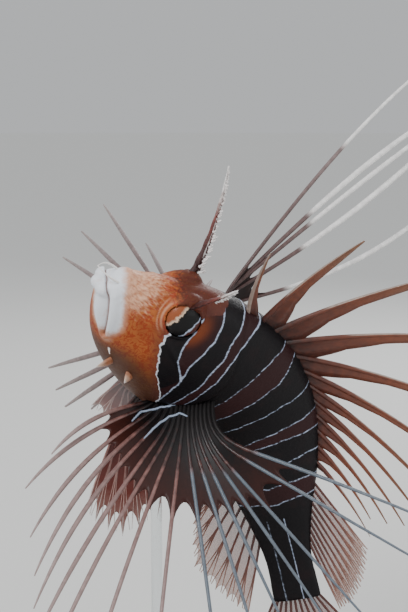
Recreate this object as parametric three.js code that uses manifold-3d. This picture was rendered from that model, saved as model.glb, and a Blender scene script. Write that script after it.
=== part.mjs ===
// Clearfin lionfish, a life-size still model of a swimming fish on a display stand.
//
// Fish frame, millimetres: the snout is the origin, +X runs forward out of the mouth,
// +Y to the fish's left and +Z up out of its back. Sizes in that frame are written as
// shares of the standard length, from the snout to the end of the tail stalk.
// World frame: +Z up, origin at the middle of the underside of the stand's base.
import * as THREE from 'three';
import Module from 'manifold-3d';

const wasm = await Module();
wasm.setup();

// Driving dimensions
const standardLength = 150;
const gap = 0.3;
const membraneThickness = 0.55;
const rayRadius = 0.5;
const spineRadius = 1.0;
const tipRadius = 0.16;
const rootSink = 2.5;

// How the swimmer is held: forward, left and up of the fish, seen in the world frame
const fishForward = new THREE.Vector3(-0.585, -0.570, 0.577).normalize();
const fishLeftGuess = new THREE.Vector3(0.090, -0.754, -0.651);
const fishUp = new THREE.Vector3().crossVectors(fishForward, fishLeftGuess).normalize();
const fishLeft = new THREE.Vector3().crossVectors(fishUp, fishForward).normalize();
const snoutPlace = new THREE.Vector3(-26, -36, 176);

// The rear of the body curls to the fish's left and down, along one arc
const curlStart = 0.30;
const curlEnd = 0.72;
const curlRate = 2.1;
const curlTilt = 0.36;

// Body outline at stations behind the snout: back, belly and half width
const bodyStations = [
  { at: -0.014, back: 0.006, belly: -0.036, half: 0.012 },
  { at: 0.000, back: 0.032, belly: -0.054, half: 0.030 },
  { at: 0.030, back: 0.056, belly: -0.086, half: 0.046 },
  { at: 0.070, back: 0.084, belly: -0.120, half: 0.058 },
  { at: 0.120, back: 0.113, belly: -0.150, half: 0.069 },
  { at: 0.180, back: 0.142, belly: -0.174, half: 0.081 },
  { at: 0.260, back: 0.162, belly: -0.190, half: 0.092 },
  { at: 0.350, back: 0.177, belly: -0.194, half: 0.096 },
  { at: 0.450, back: 0.180, belly: -0.184, half: 0.091 },
  { at: 0.560, back: 0.164, belly: -0.158, half: 0.074 },
  { at: 0.680, back: 0.126, belly: -0.118, half: 0.052 },
  { at: 0.800, back: 0.083, belly: -0.078, half: 0.032 },
  { at: 0.900, back: 0.060, belly: -0.056, half: 0.019 },
  { at: 1.000, back: 0.062, belly: -0.058, half: 0.012 },
];
const snoutTip = { forward: 0.019, up: -0.021 };
const stalkStart = 0.87;
const bodySides = 28;
const headRings = 19;
const trunkRings = 15;
const stalkRings = 3;

// The gill cover's rear edge: how far back it reaches at the nape, and its bulge
const gillEdge = { nape: 0.265, bulge: 0.105, middle: 1.65, spread: 0.75, lift: 0.005 };

// Mouth line on the side of the head, from the front to the corner
const mouthFront = { forward: 0.020, up: 0.004 };
const mouthCorner = { forward: -0.082, up: -0.098 };
const mouthGape = 0.004;
// How far the slit runs out ahead of the lips, as a share of the mouth line
const slitLead = 0.12;
// Square to the mouth line, away from the lower jaw
const mouthNormal = { forward: -0.77, up: 0.64 };

const upperLip = { side: -1, thick: 0.016, lobe: 0.0185, lobeAt: 0.62, taper: 0.25 };
const lowerLip = { side: 1, thick: 0.013, lobe: 0.016, lobeAt: 0.25, taper: 0.75 };
const jawKnobs = [
  { forward: 0.021, left: 0, up: -0.020, radius: 0.014 },
  { forward: 0.014, left: 0.018, up: -0.012, radius: 0.016 },
  { forward: 0.014, left: -0.018, up: -0.012, radius: 0.016 },
];

const eye = { forward: -0.145, left: 0.054, up: 0.074, radius: 0.040, depth: 0.028, lid: 0.007 };
const orbit = { left: 0.045, radius: 0.052, depth: 0.027 };
const eyeAim = new THREE.Vector3(0.22, 0.90, 0.30).normalize();

const nostrils = { forward: -0.036, up: 0.042, outer: 0.75, inner: 0.55, depth: 3.2, tilt: 0.9 };

// Locks of skin on the face: where they stand, their way and bend for the left side,
// their length, width in mm and flatness. From the front: nasal thread, three cheek flaps.
const faceLocks = [
  {
    at: [-0.006, 0.026], way: [0.45, 0.25, 0.35], bend: [0.6, 0, -0.6], curl: 0.75,
    length: 0.048, width: 0.45, flat: 0.8,
  },
  {
    at: [-0.148, -0.120], way: [0.55, 0.55, -0.62], bend: [0.3, 0.1, -0.5], curl: 0.4,
    length: 0.046, width: 1.9, flat: 0.35,
  },
  {
    at: [-0.194, -0.124], way: [0.1, 0.75, -0.65], bend: [0.1, 0.3, -0.1], curl: 0.3,
    length: 0.034, width: 2.2, flat: 0.4,
  },
  {
    at: [-0.110, -0.088], way: [0.5, 0.8, -0.3], bend: [0.4, 0, 0.5], curl: 0.4,
    length: 0.026, width: 0.5, flat: 0.8,
  },
];
const cheekSpots = [[-0.225, -0.045], [-0.232, -0.085], [-0.222, -0.122]];
const cheekSpine = { way: [-0.85, 0.45, -0.1], length: 0.034, radius: 1.3 };
const lockSink = 0.012;

const unit = (value) => value * standardLength;

function cubicThrough(key, at) {
  const last = bodyStations.length - 1;
  let i = 0;
  while (i < last - 1 && at > bodyStations[i + 1].at) i += 1;
  const slope = (k) => {
    const low = bodyStations[Math.max(k - 1, 0)];
    const high = bodyStations[Math.min(k + 1, last)];
    return (high[key] - low[key]) / (high.at - low.at);
  };
  const low = bodyStations[i];
  const high = bodyStations[i + 1];
  const span = high.at - low.at;
  const t = THREE.MathUtils.clamp((at - low.at) / span, 0, 1);
  const t2 = t * t;
  const t3 = t2 * t;
  return low[key] * (2 * t3 - 3 * t2 + 1) + slope(i) * span * (t3 - 2 * t2 + t)
    + high[key] * (3 * t2 - 2 * t3) + slope(i + 1) * span * (t3 - t2);
}

// The curl: a frame that rides along the backbone. Local points are forward, left, up.
const curlSide = new THREE.Vector2(Math.cos(curlTilt), -Math.sin(curlTilt));
const curlCross = new THREE.Vector2(-curlSide.y, curlSide.x);

function alongBackbone(at, local) {
  const start = unit(curlStart);
  const distance = unit(at);
  const rate = curlRate / standardLength;
  const arc = THREE.MathUtils.clamp(distance - start, 0, unit(curlEnd - curlStart));
  const past = Math.max(distance - unit(curlEnd), 0);
  const turn = rate * arc;
  const before = Math.min(distance, start);
  const x = -before - Math.sin(turn) / rate - past * Math.cos(turn);
  const b = (1 - Math.cos(turn)) / rate + past * Math.sin(turn);
  const side = local.y * curlSide.x + local.z * curlSide.y;
  const cross = local.y * curlCross.x + local.z * curlCross.y;
  const px = x + local.x * Math.cos(turn) + side * Math.sin(turn);
  const pb = b - local.x * Math.sin(turn) + side * Math.cos(turn);
  return new THREE.Vector3(
    px,
    pb * curlSide.x + cross * curlCross.x,
    pb * curlSide.y + cross * curlCross.y,
  );
}

// A point on the skin, and the half width of the body where a side view shows it
function skinPoint(at, angle, grow = 0) {
  const back = unit(cubicThrough('back', at)) + grow;
  const belly = unit(cubicThrough('belly', at)) - grow;
  const half = unit(cubicThrough('half', at)) + grow;
  const y = half * Math.sin(angle);
  const z = (back + belly) / 2 + (back - belly) / 2 * Math.cos(angle);
  return alongBackbone(at, new THREE.Vector3(0, y, z));
}

function halfWidthAt(at, up) {
  const back = cubicThrough('back', at);
  const belly = cubicThrough('belly', at);
  const t = (up - (back + belly) / 2) / ((back - belly) / 2);
  return cubicThrough('half', at) * Math.sqrt(Math.max(1 - t * t, 0));
}

// Closed meshes from rings, tubes and sheets
function meshFrom(points, faces) {
  const geometry = new THREE.BufferGeometry();
  const positions = new Float32Array(points.length * 3);
  points.forEach((point, i) => point.toArray(positions, i * 3));
  geometry.setAttribute('position', new THREE.BufferAttribute(positions, 3));
  geometry.setIndex(faces.flat());
  return geometry;
}

function loft(rings, startPole, endPole) {
  const sides = rings[0].length;
  const points = [...rings.flat(), startPole, endPole];
  const first = rings.length * sides;
  const faces = [];
  for (let side = 0; side < sides; side += 1) {
    const next = (side + 1) % sides;
    faces.push([first, next, side]);
    const last = (rings.length - 1) * sides;
    faces.push([first + 1, last + side, last + next]);
    for (let ring = 0; ring < rings.length - 1; ring += 1) {
      const a = ring * sides + side;
      const b = ring * sides + next;
      faces.push([a, b, b + sides], [a, b + sides, a + sides]);
    }
  }
  return meshFrom(points, faces);
}

function tube(path, radii, sides, flatness = 1, flatAxis = new THREE.Vector3(0, 1, 0)) {
  const rings = path.map((point, i) => {
    const before = path[Math.max(i - 1, 0)];
    const after = path[Math.min(i + 1, path.length - 1)];
    const tangent = after.clone().sub(before).normalize();
    const narrow = flatAxis.clone().addScaledVector(tangent, -flatAxis.dot(tangent)).normalize();
    const wide = new THREE.Vector3().crossVectors(tangent, narrow);
    return Array.from({ length: sides }, (_, side) => {
      const angle = (side + 0.5) / sides * 2 * Math.PI;
      return point.clone()
        .addScaledVector(narrow, Math.cos(angle) * radii[i] * flatness)
        .addScaledVector(wide, Math.sin(angle) * radii[i]);
    });
  });
  return loft(rings, path[0], path[path.length - 1]);
}

// A slab over a grid of points, split alike on both faces
function sheet(columns, thicknessOf) {
  const rows = columns[0].length;
  const at = (column, row) => columns[THREE.MathUtils.clamp(column, 0, columns.length - 1)][
    THREE.MathUtils.clamp(row, 0, rows - 1)];
  const upper = [];
  const lower = [];
  for (let c = 0; c < columns.length; c += 1) {
    for (let r = 0; r < rows; r += 1) {
      const across = at(c + 1, r).clone().sub(at(c - 1, r));
      const along = at(c, r + 1).clone().sub(at(c, r - 1));
      const normal = across.cross(along).normalize();
      upper.push(columns[c][r].clone().addScaledVector(normal, thicknessOf(c, r) / 2));
      lower.push(columns[c][r].clone().addScaledVector(normal, -thicknessOf(c, r) / 2));
    }
  }
  const points = [...upper, ...lower];
  const shift = upper.length;
  const faces = [];
  const wall = (a, b) => faces.push([a, a + shift, b + shift], [a, b + shift, b]);
  for (let c = 0; c < columns.length - 1; c += 1) {
    for (let r = 0; r < rows - 1; r += 1) {
      const a = c * rows + r;
      const b = a + rows;
      faces.push([a, b, b + 1], [a, b + 1, a + 1]);
      faces.push([a + shift, b + 1 + shift, b + shift], [a + shift, a + 1 + shift, b + 1 + shift]);
    }
    wall(c * rows, (c + 1) * rows);
    wall((c + 1) * rows + rows - 1, c * rows + rows - 1);
  }
  for (let r = 0; r < rows - 1; r += 1) {
    wall(r + 1, r);
    const lastColumn = (columns.length - 1) * rows;
    wall(lastColumn + r, lastColumn + r + 1);
  }
  return meshFrom(points, faces);
}

// Joining and cutting
function solidOf(geometry) {
  const source = new wasm.Mesh({
    numProp: 3,
    vertProperties: new Float32Array(geometry.getAttribute('position').array),
    triVerts: new Uint32Array(geometry.getIndex().array),
  });
  const solid = new wasm.Manifold(source);
  return solid.volume() < 0 ? solidOf(flipped(geometry)) : solid;
}

function flipped(geometry) {
  const index = Array.from(geometry.getIndex().array);
  const turned = [];
  for (let i = 0; i < index.length; i += 3) turned.push(index[i], index[i + 2], index[i + 1]);
  const copy = geometry.clone();
  copy.setIndex(turned);
  return copy;
}

function joined(pieces) {
  return pieces.map((piece) => (piece.isBufferGeometry ? solidOf(piece) : piece))
    .reduce((whole, piece) => whole.add(piece));
}

function largest(solid) {
  return solid.decompose().reduce((best, piece) => (piece.volume() > best.volume() ? piece : best));
}

function geometryOf(solid) {
  const mesh = largest(solid).getMesh();
  const geometry = new THREE.BufferGeometry();
  geometry.setAttribute('position', new THREE.BufferAttribute(new Float32Array(mesh.vertProperties), 3));
  geometry.setIndex(new THREE.BufferAttribute(new Uint32Array(mesh.triVerts), 1));
  return geometry;
}

// Body: head, trunk and tail stalk, parted at the gill cover's edge and before the stalk
function gillEdgeAt(angle) {
  const folded = angle > Math.PI ? 2 * Math.PI - angle : angle;
  const away = (folded - gillEdge.middle) / gillEdge.spread;
  return gillEdge.nape + gillEdge.bulge * Math.exp(-away * away);
}

function bodyLoft(from, to, rings, grow = 0) {
  const list = [];
  for (let ring = 0; ring <= rings; ring += 1) {
    const share = ring / rings;
    list.push(Array.from({ length: bodySides }, (_, side) => {
      const angle = side / bodySides * 2 * Math.PI;
      return skinPoint(THREE.MathUtils.lerp(from(angle), to(angle), share), angle, grow);
    }));
  }
  return loft(list, middleOf(list[0]), middleOf(list[rings]));
}

function middleOf(ring) {
  return ring.reduce((sum, point) => sum.add(point), new THREE.Vector3()).divideScalar(ring.length);
}

function headShell(grow = 0) {
  const list = [];
  for (let ring = 0; ring <= headRings; ring += 1) {
    const share = (ring / headRings) ** 1.5;
    list.push(Array.from({ length: bodySides }, (_, side) => {
      const angle = side / bodySides * 2 * Math.PI;
      const at = THREE.MathUtils.lerp(bodyStations[0].at, gillEdgeAt(angle), share);
      const lift = unit(gillEdge.lift) * THREE.MathUtils.smoothstep(share, 0.80, 1) * Math.abs(Math.sin(angle));
      return skinPoint(at, angle, grow + lift);
    }));
  }
  const pole = new THREE.Vector3(unit(snoutTip.forward) + grow, 0, unit(snoutTip.up));
  return loft(list, pole, middleOf(list[headRings]));
}

const gapShare = gap / standardLength;
const trunkShell = (grow = 0) => bodyLoft(
  (angle) => gillEdgeAt(angle) + gapShare, () => stalkStart, trunkRings, grow);
const stalkShell = (grow = 0) => bodyLoft(
  () => stalkStart + gapShare, () => 1, stalkRings, grow);

// What fins and rods are cut back from, so that they stop a gap short of the skin
const clearBody = joined([
  headShell(gap),
  bodyLoft((angle) => gillEdgeAt(angle) - 0.004, () => stalkStart + 0.002, trunkRings, gap),
  bodyLoft(() => stalkStart - 0.002, () => 1 + gapShare, stalkRings, gap),
]);

// Head: mouth, lips, nostrils, lids, sockets, skin flaps and cheek spines
function mouthLineAt(share) {
  return {
    forward: THREE.MathUtils.lerp(mouthFront.forward, mouthCorner.forward, share),
    up: THREE.MathUtils.lerp(mouthFront.up, mouthCorner.up, share ** 1.12),
  };
}

function mouthSlit() {
  const reach = unit(0.14);
  const outline = new THREE.Shape();
  const steps = 5;
  const edge = (side) => Array.from({ length: steps }, (_, i) => {
    const share = i / steps - slitLead;
    const line = mouthLineAt(Math.max(share, 0));
    const ahead = Math.min(share, 0) * 0.2;
    const open = mouthGape * (1 - Math.max(share, 0)) * side;
    return new THREE.Vector2(unit(line.forward - ahead + open * 0.6), unit(line.up - open * 0.8));
  });
  const corner = new THREE.Vector2(unit(mouthCorner.forward), unit(mouthCorner.up));
  outline.setFromPoints([...edge(0), corner, ...edge(1).reverse()]);
  const slab = new THREE.ExtrudeGeometry(outline, { depth: 2 * reach, bevelEnabled: false, steps: 1 });
  slab.rotateX(Math.PI / 2);
  slab.translate(0, reach, 0);
  return weld(slab);
}

function weld(geometry) {
  const source = geometry.getAttribute('position');
  const index = geometry.getIndex();
  const count = index ? index.count : source.count;
  const seen = new Map();
  const points = [];
  const corners = [];
  for (let i = 0; i < count; i += 1) {
    const point = new THREE.Vector3().fromBufferAttribute(source, index ? index.getX(i) : i);
    const key = point.toArray().map((value) => Math.round(value * 1e4)).join();
    if (!seen.has(key)) {
      seen.set(key, points.length);
      points.push(point);
    }
    corners.push(seen.get(key));
  }
  const faces = [];
  for (let i = 0; i < count; i += 3) {
    const [a, b, c] = corners.slice(i, i + 3);
    if (a !== b && b !== c && a !== c) faces.push([a, b, c]);
  }
  return meshFrom(points, faces);
}

function lip({ side, thick, lobe, lobeAt, taper }) {
  const steps = 12;
  const path = [];
  const radii = [];
  for (let i = 0; i <= steps; i += 1) {
    const sweep = i / steps * 2 - 1;
    const share = Math.abs(sweep) ** 1.3;
    const line = mouthLineAt(share);
    const bulge = Math.exp(-(((share - lobeAt) / 0.28) ** 2));
    const radius = (thick + (lobe - thick) * bulge) * (1 - taper * share ** 4);
    const offset = radius * 0.75 + (side > 0 ? mouthGape * (1 - share) : 0);
    const forward = line.forward - side * offset * mouthNormal.forward;
    const up = line.up - side * offset * mouthNormal.up;
    const half = halfWidthAt(-forward, up);
    const width = Math.max(half - radius * 0.35, 0.058 * Math.sqrt(share) * 0.8);
    const ahead = share < 0.2 ? -0.012 * (1 - share / 0.2) : 0;
    path.push(new THREE.Vector3(unit(forward + ahead), unit(width) * Math.sign(sweep), unit(up)));
    radii.push(unit(radius));
  }
  return tube(path, radii, 6, 0.8);
}

function eyeShape(radius, depth) {
  const ball = weld(new THREE.SphereGeometry(1, 16, 9));
  ball.scale(radius, depth, radius);
  return ball;
}

function eyeTurn(side, left = eye.left) {
  const aim = new THREE.Vector3(eyeAim.x, eyeAim.y * side, eyeAim.z);
  const turn = new THREE.Quaternion().setFromUnitVectors(new THREE.Vector3(0, 1, 0), aim);
  const place = new THREE.Vector3(unit(eye.forward), unit(left) * side, unit(eye.up));
  return new THREE.Matrix4().compose(place, turn, new THREE.Vector3(1, 1, 1));
}

function eyeBall(side, grow = 0) {
  return eyeShape(unit(eye.radius) + grow, unit(eye.depth) + grow).applyMatrix4(eyeTurn(side));
}

function lidRing(side, grow = 0) {
  const ring = weld(new THREE.TorusGeometry(unit(eye.radius) * 0.97, unit(eye.lid) + grow, 5, 16));
  ring.rotateX(Math.PI / 2);
  ring.translate(0, unit(0.005), 0);
  return ring.applyMatrix4(eyeTurn(side));
}

function orbitBulge(side, grow = 0) {
  return eyeShape(unit(orbit.radius) + grow, unit(orbit.depth) + grow).applyMatrix4(eyeTurn(side, orbit.left));
}

function jawKnob({ forward, left, up, radius }) {
  const knob = weld(new THREE.SphereGeometry(unit(radius), 10, 7));
  return knob.translate(unit(forward), unit(left), unit(up));
}

// A tapered lock of skin along a bent path
function skinFlap(base, aim, bend, length, width, flatness) {
  const steps = 5;
  const path = [];
  const radii = [];
  for (let i = 0; i <= steps; i += 1) {
    const share = i / steps;
    path.push(base.clone()
      .addScaledVector(aim, length * (share * 1.15 - 0.15))
      .addScaledVector(bend, length * share * share));
    radii.push(Math.max(width * Math.sin(Math.PI * (0.25 + 0.72 * share)), tipRadius));
  }
  return tube(path, radii, 6, flatness);
}

function onFace([forward, up], side) {
  return new THREE.Vector3(unit(forward), unit(halfWidthAt(-forward, up) - lockSink) * side, unit(up));
}

function faceFlaps(side) {
  const turned = ([x, y, z]) => new THREE.Vector3(x, y * side, z).normalize();
  return faceLocks.map(({ at, way, bend, curl, length, width, flat }) => skinFlap(
    onFace(at, side), turned(way), turned(bend).multiplyScalar(curl), unit(length), width, flat));
}

function cheekSpines(side) {
  const [x, y, z] = cheekSpine.way;
  const aim = new THREE.Vector3(x, y * side, z).normalize().multiplyScalar(unit(cheekSpine.length));
  return cheekSpots.map((spot) => {
    const root = onFace(spot, side);
    const path = [0, 0.6, 1].map((share) => root.clone().addScaledVector(aim, share));
    return tube(path, [cheekSpine.radius, cheekSpine.radius * 0.6, tipRadius], 5);
  });
}

function head() {
  const both = (make) => [1, -1].flatMap((side) => make(side));
  const grown = joined([
    headShell(),
    lip(upperLip),
    lip(lowerLip),
    ...jawKnobs.map(jawKnob),
    ...both((side) => [orbitBulge(side), lidRing(side), ...cheekSpines(side)]),
  ]);
  const nostril = (side) => {
    const { forward, up, outer, inner, depth, tilt } = nostrils;
    const hole = new THREE.CylinderGeometry(outer, inner, depth, 8);
    hole.rotateX(side * tilt);
    hole.translate(unit(forward), unit(halfWidthAt(-forward, up)) * side, unit(up));
    return solidOf(weld(hole));
  };
  const cuts = [solidOf(mouthSlit()), ...both((side) => [solidOf(eyeBall(side, gap)), nostril(side)])];
  const carved = cuts.reduce((whole, cut) => whole.subtract(cut), grown);
  return joined([carved, ...both((side) => faceFlaps(side))]);
}

// Fringed tentacle over each eye
const brow = { forward: -0.137, left: 0.046, up: 0.118, length: 0.245, width: 0.017, fringes: 7 };

function browTentacle(side) {
  const base = new THREE.Vector3(unit(brow.forward), unit(brow.left) * side, unit(brow.up));
  const aim = side > 0 ? new THREE.Vector3(0.40, 0.54, 0.74) : new THREE.Vector3(0.10, -0.66, 0.72);
  const bend = side > 0 ? new THREE.Vector3(0.02, -0.12, 0.10) : new THREE.Vector3(0.26, -0.06, 0.04);
  const length = unit(brow.length);
  const steps = 9;
  const at = (share) => base.clone().addScaledVector(aim, length * share)
    .addScaledVector(bend, length * share * share);
  const path = Array.from({ length: steps + 1 }, (_, i) => at(i / steps * 1.06 - 0.06));
  const radii = path.map((_, i) => unit(brow.width) * (1 - 0.84 * (i / steps) ** 0.8));
  const flatAxis = new THREE.Vector3(0.2, 0.5 * side, -0.7).normalize();
  const blade = tube(path, radii, 6, 0.45, flatAxis);
  const tufts = Array.from({ length: brow.fringes }, (_, i) => {
    const share = 0.14 + 0.66 * i / (brow.fringes - 1);
    const root = at(share);
    const out = new THREE.Vector3(-0.75, 0.1 * side * (i % 2 ? 1 : -1), 0.25).normalize();
    const reach = unit(0.026) * (1 - 0.5 * share) * (i % 2 ? 1 : 0.8);
    return tube([root, root.clone().addScaledVector(out, reach * 0.65), root.clone().addScaledVector(out, reach)],
      [0.9, 0.6, tipRadius], 4, 0.7);
  });
  const clearHead = joined([headShell(gap), eyeBall(side, 2 * gap), lidRing(side, gap), orbitBulge(side, gap)]);
  return joined([blade, ...tufts]).subtract(clearHead);
}

// A fin from its rays, each a path from root to tip. The rays are ridges raised in the
// membrane's own surface, and past its edge they run on as free tapered filaments.
const besideRay = 0.22;
const rayFade = 0.45;
const filamentTaper = 2.6;

function rayFin(rays, { webReach, webDip, webSteps, ridge, free = 0 }) {
  const columns = [];
  const ridges = [];
  const lerped = (a, b, t, mix) => a(t).lerp(b(t), mix);
  const spread = (reach, make) => Array.from({ length: webSteps + 1 }, (_, i) => make(i / webSteps * reach));
  rays.forEach((ray, k) => {
    columns.push(spread(webReach(k), ray));
    ridges.push(true);
    if (k === rays.length - 1) return;
    const next = rays[k + 1];
    const low = (webReach(k) + webReach(k + 1)) / 2 * (1 - webDip);
    columns.push(spread((low + webReach(k)) / 2, (t) => lerped(ray, next, t, besideRay)));
    columns.push(spread((low + webReach(k + 1)) / 2, (t) => lerped(ray, next, t, 1 - besideRay)));
    ridges.push(false, false);
  });
  const web = sheet(columns, (c, r) => {
    const fade = 1 - rayFade * r / webSteps;
    return ridges[c] ? Math.max(2 * ridge * fade, membraneThickness) : membraneThickness;
  });
  if (!free) return joined([web]);
  const filaments = rays.map((ray, k) => {
    const from = webReach(k) - 0.06;
    const path = Array.from({ length: free + 1 }, (_, i) => ray(from + (1 - from) * i / free));
    const radii = path.map((_, i) => THREE.MathUtils.lerp(ridge * 0.8, tipRadius, (i / free) ** filamentTaper));
    return tube(path, radii, 4);
  });
  return joined([web, ...filaments]);
}

// Dorsal spines: rigid, each with a strip of membrane down its rear edge
const dorsal = { first: 0.290, last: 0.672, count: 12, sweep: 0.16 };
const dorsalLean = [-51, -23, 1, 21, 41, 54, 61, 64, 65, 64, 62, 60];
const dorsalReach = [0.19, 0.31, 0.43, 0.48, 0.49, 0.48, 0.45, 0.41, 0.36, 0.29, 0.22, 0.22];

function dorsalSpine(k) {
  const at = THREE.MathUtils.lerp(dorsal.first, dorsal.last, k / (dorsal.count - 1));
  const lean = THREE.MathUtils.degToRad(dorsalLean[k]);
  const root = unit(cubicThrough('back', at)) - rootSink;
  const length = unit(dorsalReach[k]) + rootSink;
  return (t) => {
    const sweep = lean + dorsal.sweep * t;
    return alongBackbone(at, new THREE.Vector3(
      -Math.sin(sweep) * length * t, 0, root + Math.cos(sweep) * length * t));
  };
}

// How far the blade behind a spine reaches towards the next one, from root to tip
const bladeRows = [0, 0.10, 0.19, 0.30, 0.48, 0.78, 1];
const bladeReach = [1, 1, 0.70, 0.40, 0.20, 0.10, 0.02];

// One spine with its blade of membrane, as one closed loft: round in front, thin behind
function spineBlade(spine, next, ratio) {
  const rings = bladeRows.map((t, i) => {
    const front = spine(t);
    const rear = next ? next(Math.min(t * ratio, 1)) : spine(t).add(new THREE.Vector3(-unit(0.02), 0, 0));
    const back = rear.sub(front);
    const along = spine(Math.min(t + 0.05, 1.02)).sub(spine(t - 0.05)).normalize();
    back.addScaledVector(along, -back.dot(along) * (t > 0.2 ? 0.6 : 0));
    const side = new THREE.Vector3().crossVectors(along, back).normalize();
    const ahead = back.clone().normalize();
    const thick = Math.max(spineRadius * (1 - 0.85 * t), tipRadius);
    const thin = Math.min(membraneThickness / 2, thick);
    const blade = back.clone().multiplyScalar(bladeReach[i]);
    const least = ahead.clone().multiplyScalar(thick * 1.6);
    const far = blade.length() > least.length() ? blade : least;
    return [
      front.clone().addScaledVector(ahead, -thick),
      front.clone().addScaledVector(side, thick),
      front.clone().addScaledVector(ahead, thick * 1.3).addScaledVector(side, thin),
      front.clone().add(far).addScaledVector(side, thin),
      front.clone().add(far).addScaledVector(side, -thin),
      front.clone().addScaledVector(ahead, thick * 1.3).addScaledVector(side, -thin),
      front.clone().addScaledVector(side, -thick),
    ];
  });
  return loft(rings, spine(0), spine(1));
}

function dorsalSpines() {
  const spines = Array.from({ length: dorsal.count }, (_, k) => dorsalSpine(k));
  const blades = spines.map((spine, k) => spineBlade(
    spine, spines[k + 1], dorsalReach[k] / (dorsalReach[k + 1] ?? 1)));
  return joined(blades).subtract(clearBody);
}

// Fans of soft rays on the backbone: rear dorsal, anal and tail fin
function medianRays({ count, first, last, side, leanFirst, leanLast, reach }) {
  return Array.from({ length: count }, (_, k) => {
    const share = k / (count - 1);
    const at = THREE.MathUtils.lerp(first, last, share);
    const lean = THREE.MathUtils.degToRad(THREE.MathUtils.lerp(leanFirst, leanLast, share));
    const edge = side > 0 ? cubicThrough('back', at) : -cubicThrough('belly', at);
    const root = unit(edge) - rootSink;
    const length = unit(reach(share)) + rootSink;
    return (t) => alongBackbone(at, new THREE.Vector3(
      -Math.sin(lean) * length * t, 0, side * (root + Math.cos(lean) * length * t)));
  });
}

const softDorsal = {
  count: 10, first: 0.718, last: 0.845, side: 1, leanFirst: 63, leanLast: 77,
  reach: (share) => 0.17 + 0.05 * Math.sin(Math.PI * (0.2 + 0.7 * share)),
};
const analFin = {
  count: 9, first: 0.665, last: 0.835, side: -1, leanFirst: 34, leanLast: 68,
  reach: (share) => (share < 0.3 ? 0.10 + 0.28 * share : 0.185 + 0.02 * Math.sin(Math.PI * share)),
};

function medianFin(fin) {
  const rays = medianRays(fin);
  return rayFin(rays, {
    webReach: () => 1, webDip: 0.10, webSteps: 3, ridge: rayRadius,
  }).subtract(clearBody);
}

const tailFin = { count: 12, spread: 34, reach: 0.235, rootHalf: 0.046 };

function caudalFin() {
  const rays = Array.from({ length: tailFin.count }, (_, k) => {
    const share = k / (tailFin.count - 1) * 2 - 1;
    const angle = THREE.MathUtils.degToRad(tailFin.spread) * share;
    const length = unit(tailFin.reach) * (1 - 0.10 * share * share) + rootSink;
    return (t) => alongBackbone(1, new THREE.Vector3(
      rootSink - Math.cos(angle) * length * t, 0,
      unit(tailFin.rootHalf) * share + Math.sin(angle) * length * t));
  });
  return rayFin(rays, {
    webReach: () => 1, webDip: 0.05, webSteps: 3, ridge: rayRadius,
  }).subtract(clearBody);
}

// Paired fins: every ray leaves the body sideways and turns to its own direction
function turnedPath(base, start, finish, length, turnShare, droop) {
  const from = start.clone().normalize();
  const to = finish.clone().normalize();
  return (t) => {
    const point = base.clone();
    const steps = 12;
    for (let i = 0; i < steps; i += 1) {
      const share = (i + 0.5) / steps * t;
      const mix = THREE.MathUtils.smoothstep(share, 0, turnShare);
      const way = from.clone().lerp(to, mix).addScaledVector(droop, share * share).normalize();
      point.addScaledVector(way, length * t / steps);
    }
    return point;
  };
}

function keyed(keys, ray, name) {
  let i = 0;
  while (i < keys.length - 2 && ray > keys[i + 1].ray) i += 1;
  const share = (ray - keys[i].ray) / (keys[i + 1].ray - keys[i].ray);
  const smooth = share * share * (3 - 2 * share) * 0.35 + share * 0.65;
  return THREE.MathUtils.lerp(keys[i][name], keys[i + 1][name], smooth);
}

const pectoralRoot = { top: { at: 0.392, up: -0.012 }, bottom: { at: 0.335, up: -0.142 } };
const pectoralRays = 16;
// How far the left fan's lowest rays already leave the body in their own direction
const lowRayTurn = 0.75;
const leftFan = [
  { ray: 0, forward: -0.38, left: 0.55, up: 0.75, reach: 0.96, droop: 0.16 },
  { ray: 1, forward: -0.45, left: 0.66, up: 0.61, reach: 0.95, droop: -0.05 },
  { ray: 2, forward: -0.53, left: 0.78, up: 0.34, reach: 0.94, droop: 0.02 },
  { ray: 5, forward: -0.33, left: 0.93, up: 0.02, reach: 0.88, droop: 0.10 },
  { ray: 9, forward: 0.23, left: 0.82, up: -0.52, reach: 0.72, droop: 0.50 },
  { ray: 10, forward: 0.35, left: 0.80, up: -0.48, reach: 0.65, droop: 0.53 },
  { ray: 11, forward: 0.49, left: 0.73, up: -0.47, reach: 0.57, droop: 1.03 },
  { ray: 12, forward: 0.59, left: 0.69, up: -0.42, reach: 0.52, droop: 1.14 },
  { ray: 13, forward: 0.62, left: 0.62, up: -0.48, reach: 0.45, droop: 0.96 },
  { ray: 14, forward: 0.71, left: 0.49, up: -0.51, reach: 0.38, droop: 0.73 },
  { ray: 15, forward: 0.82, left: 0.43, up: -0.37, reach: 0.30, droop: 0.84 },
];
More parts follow.
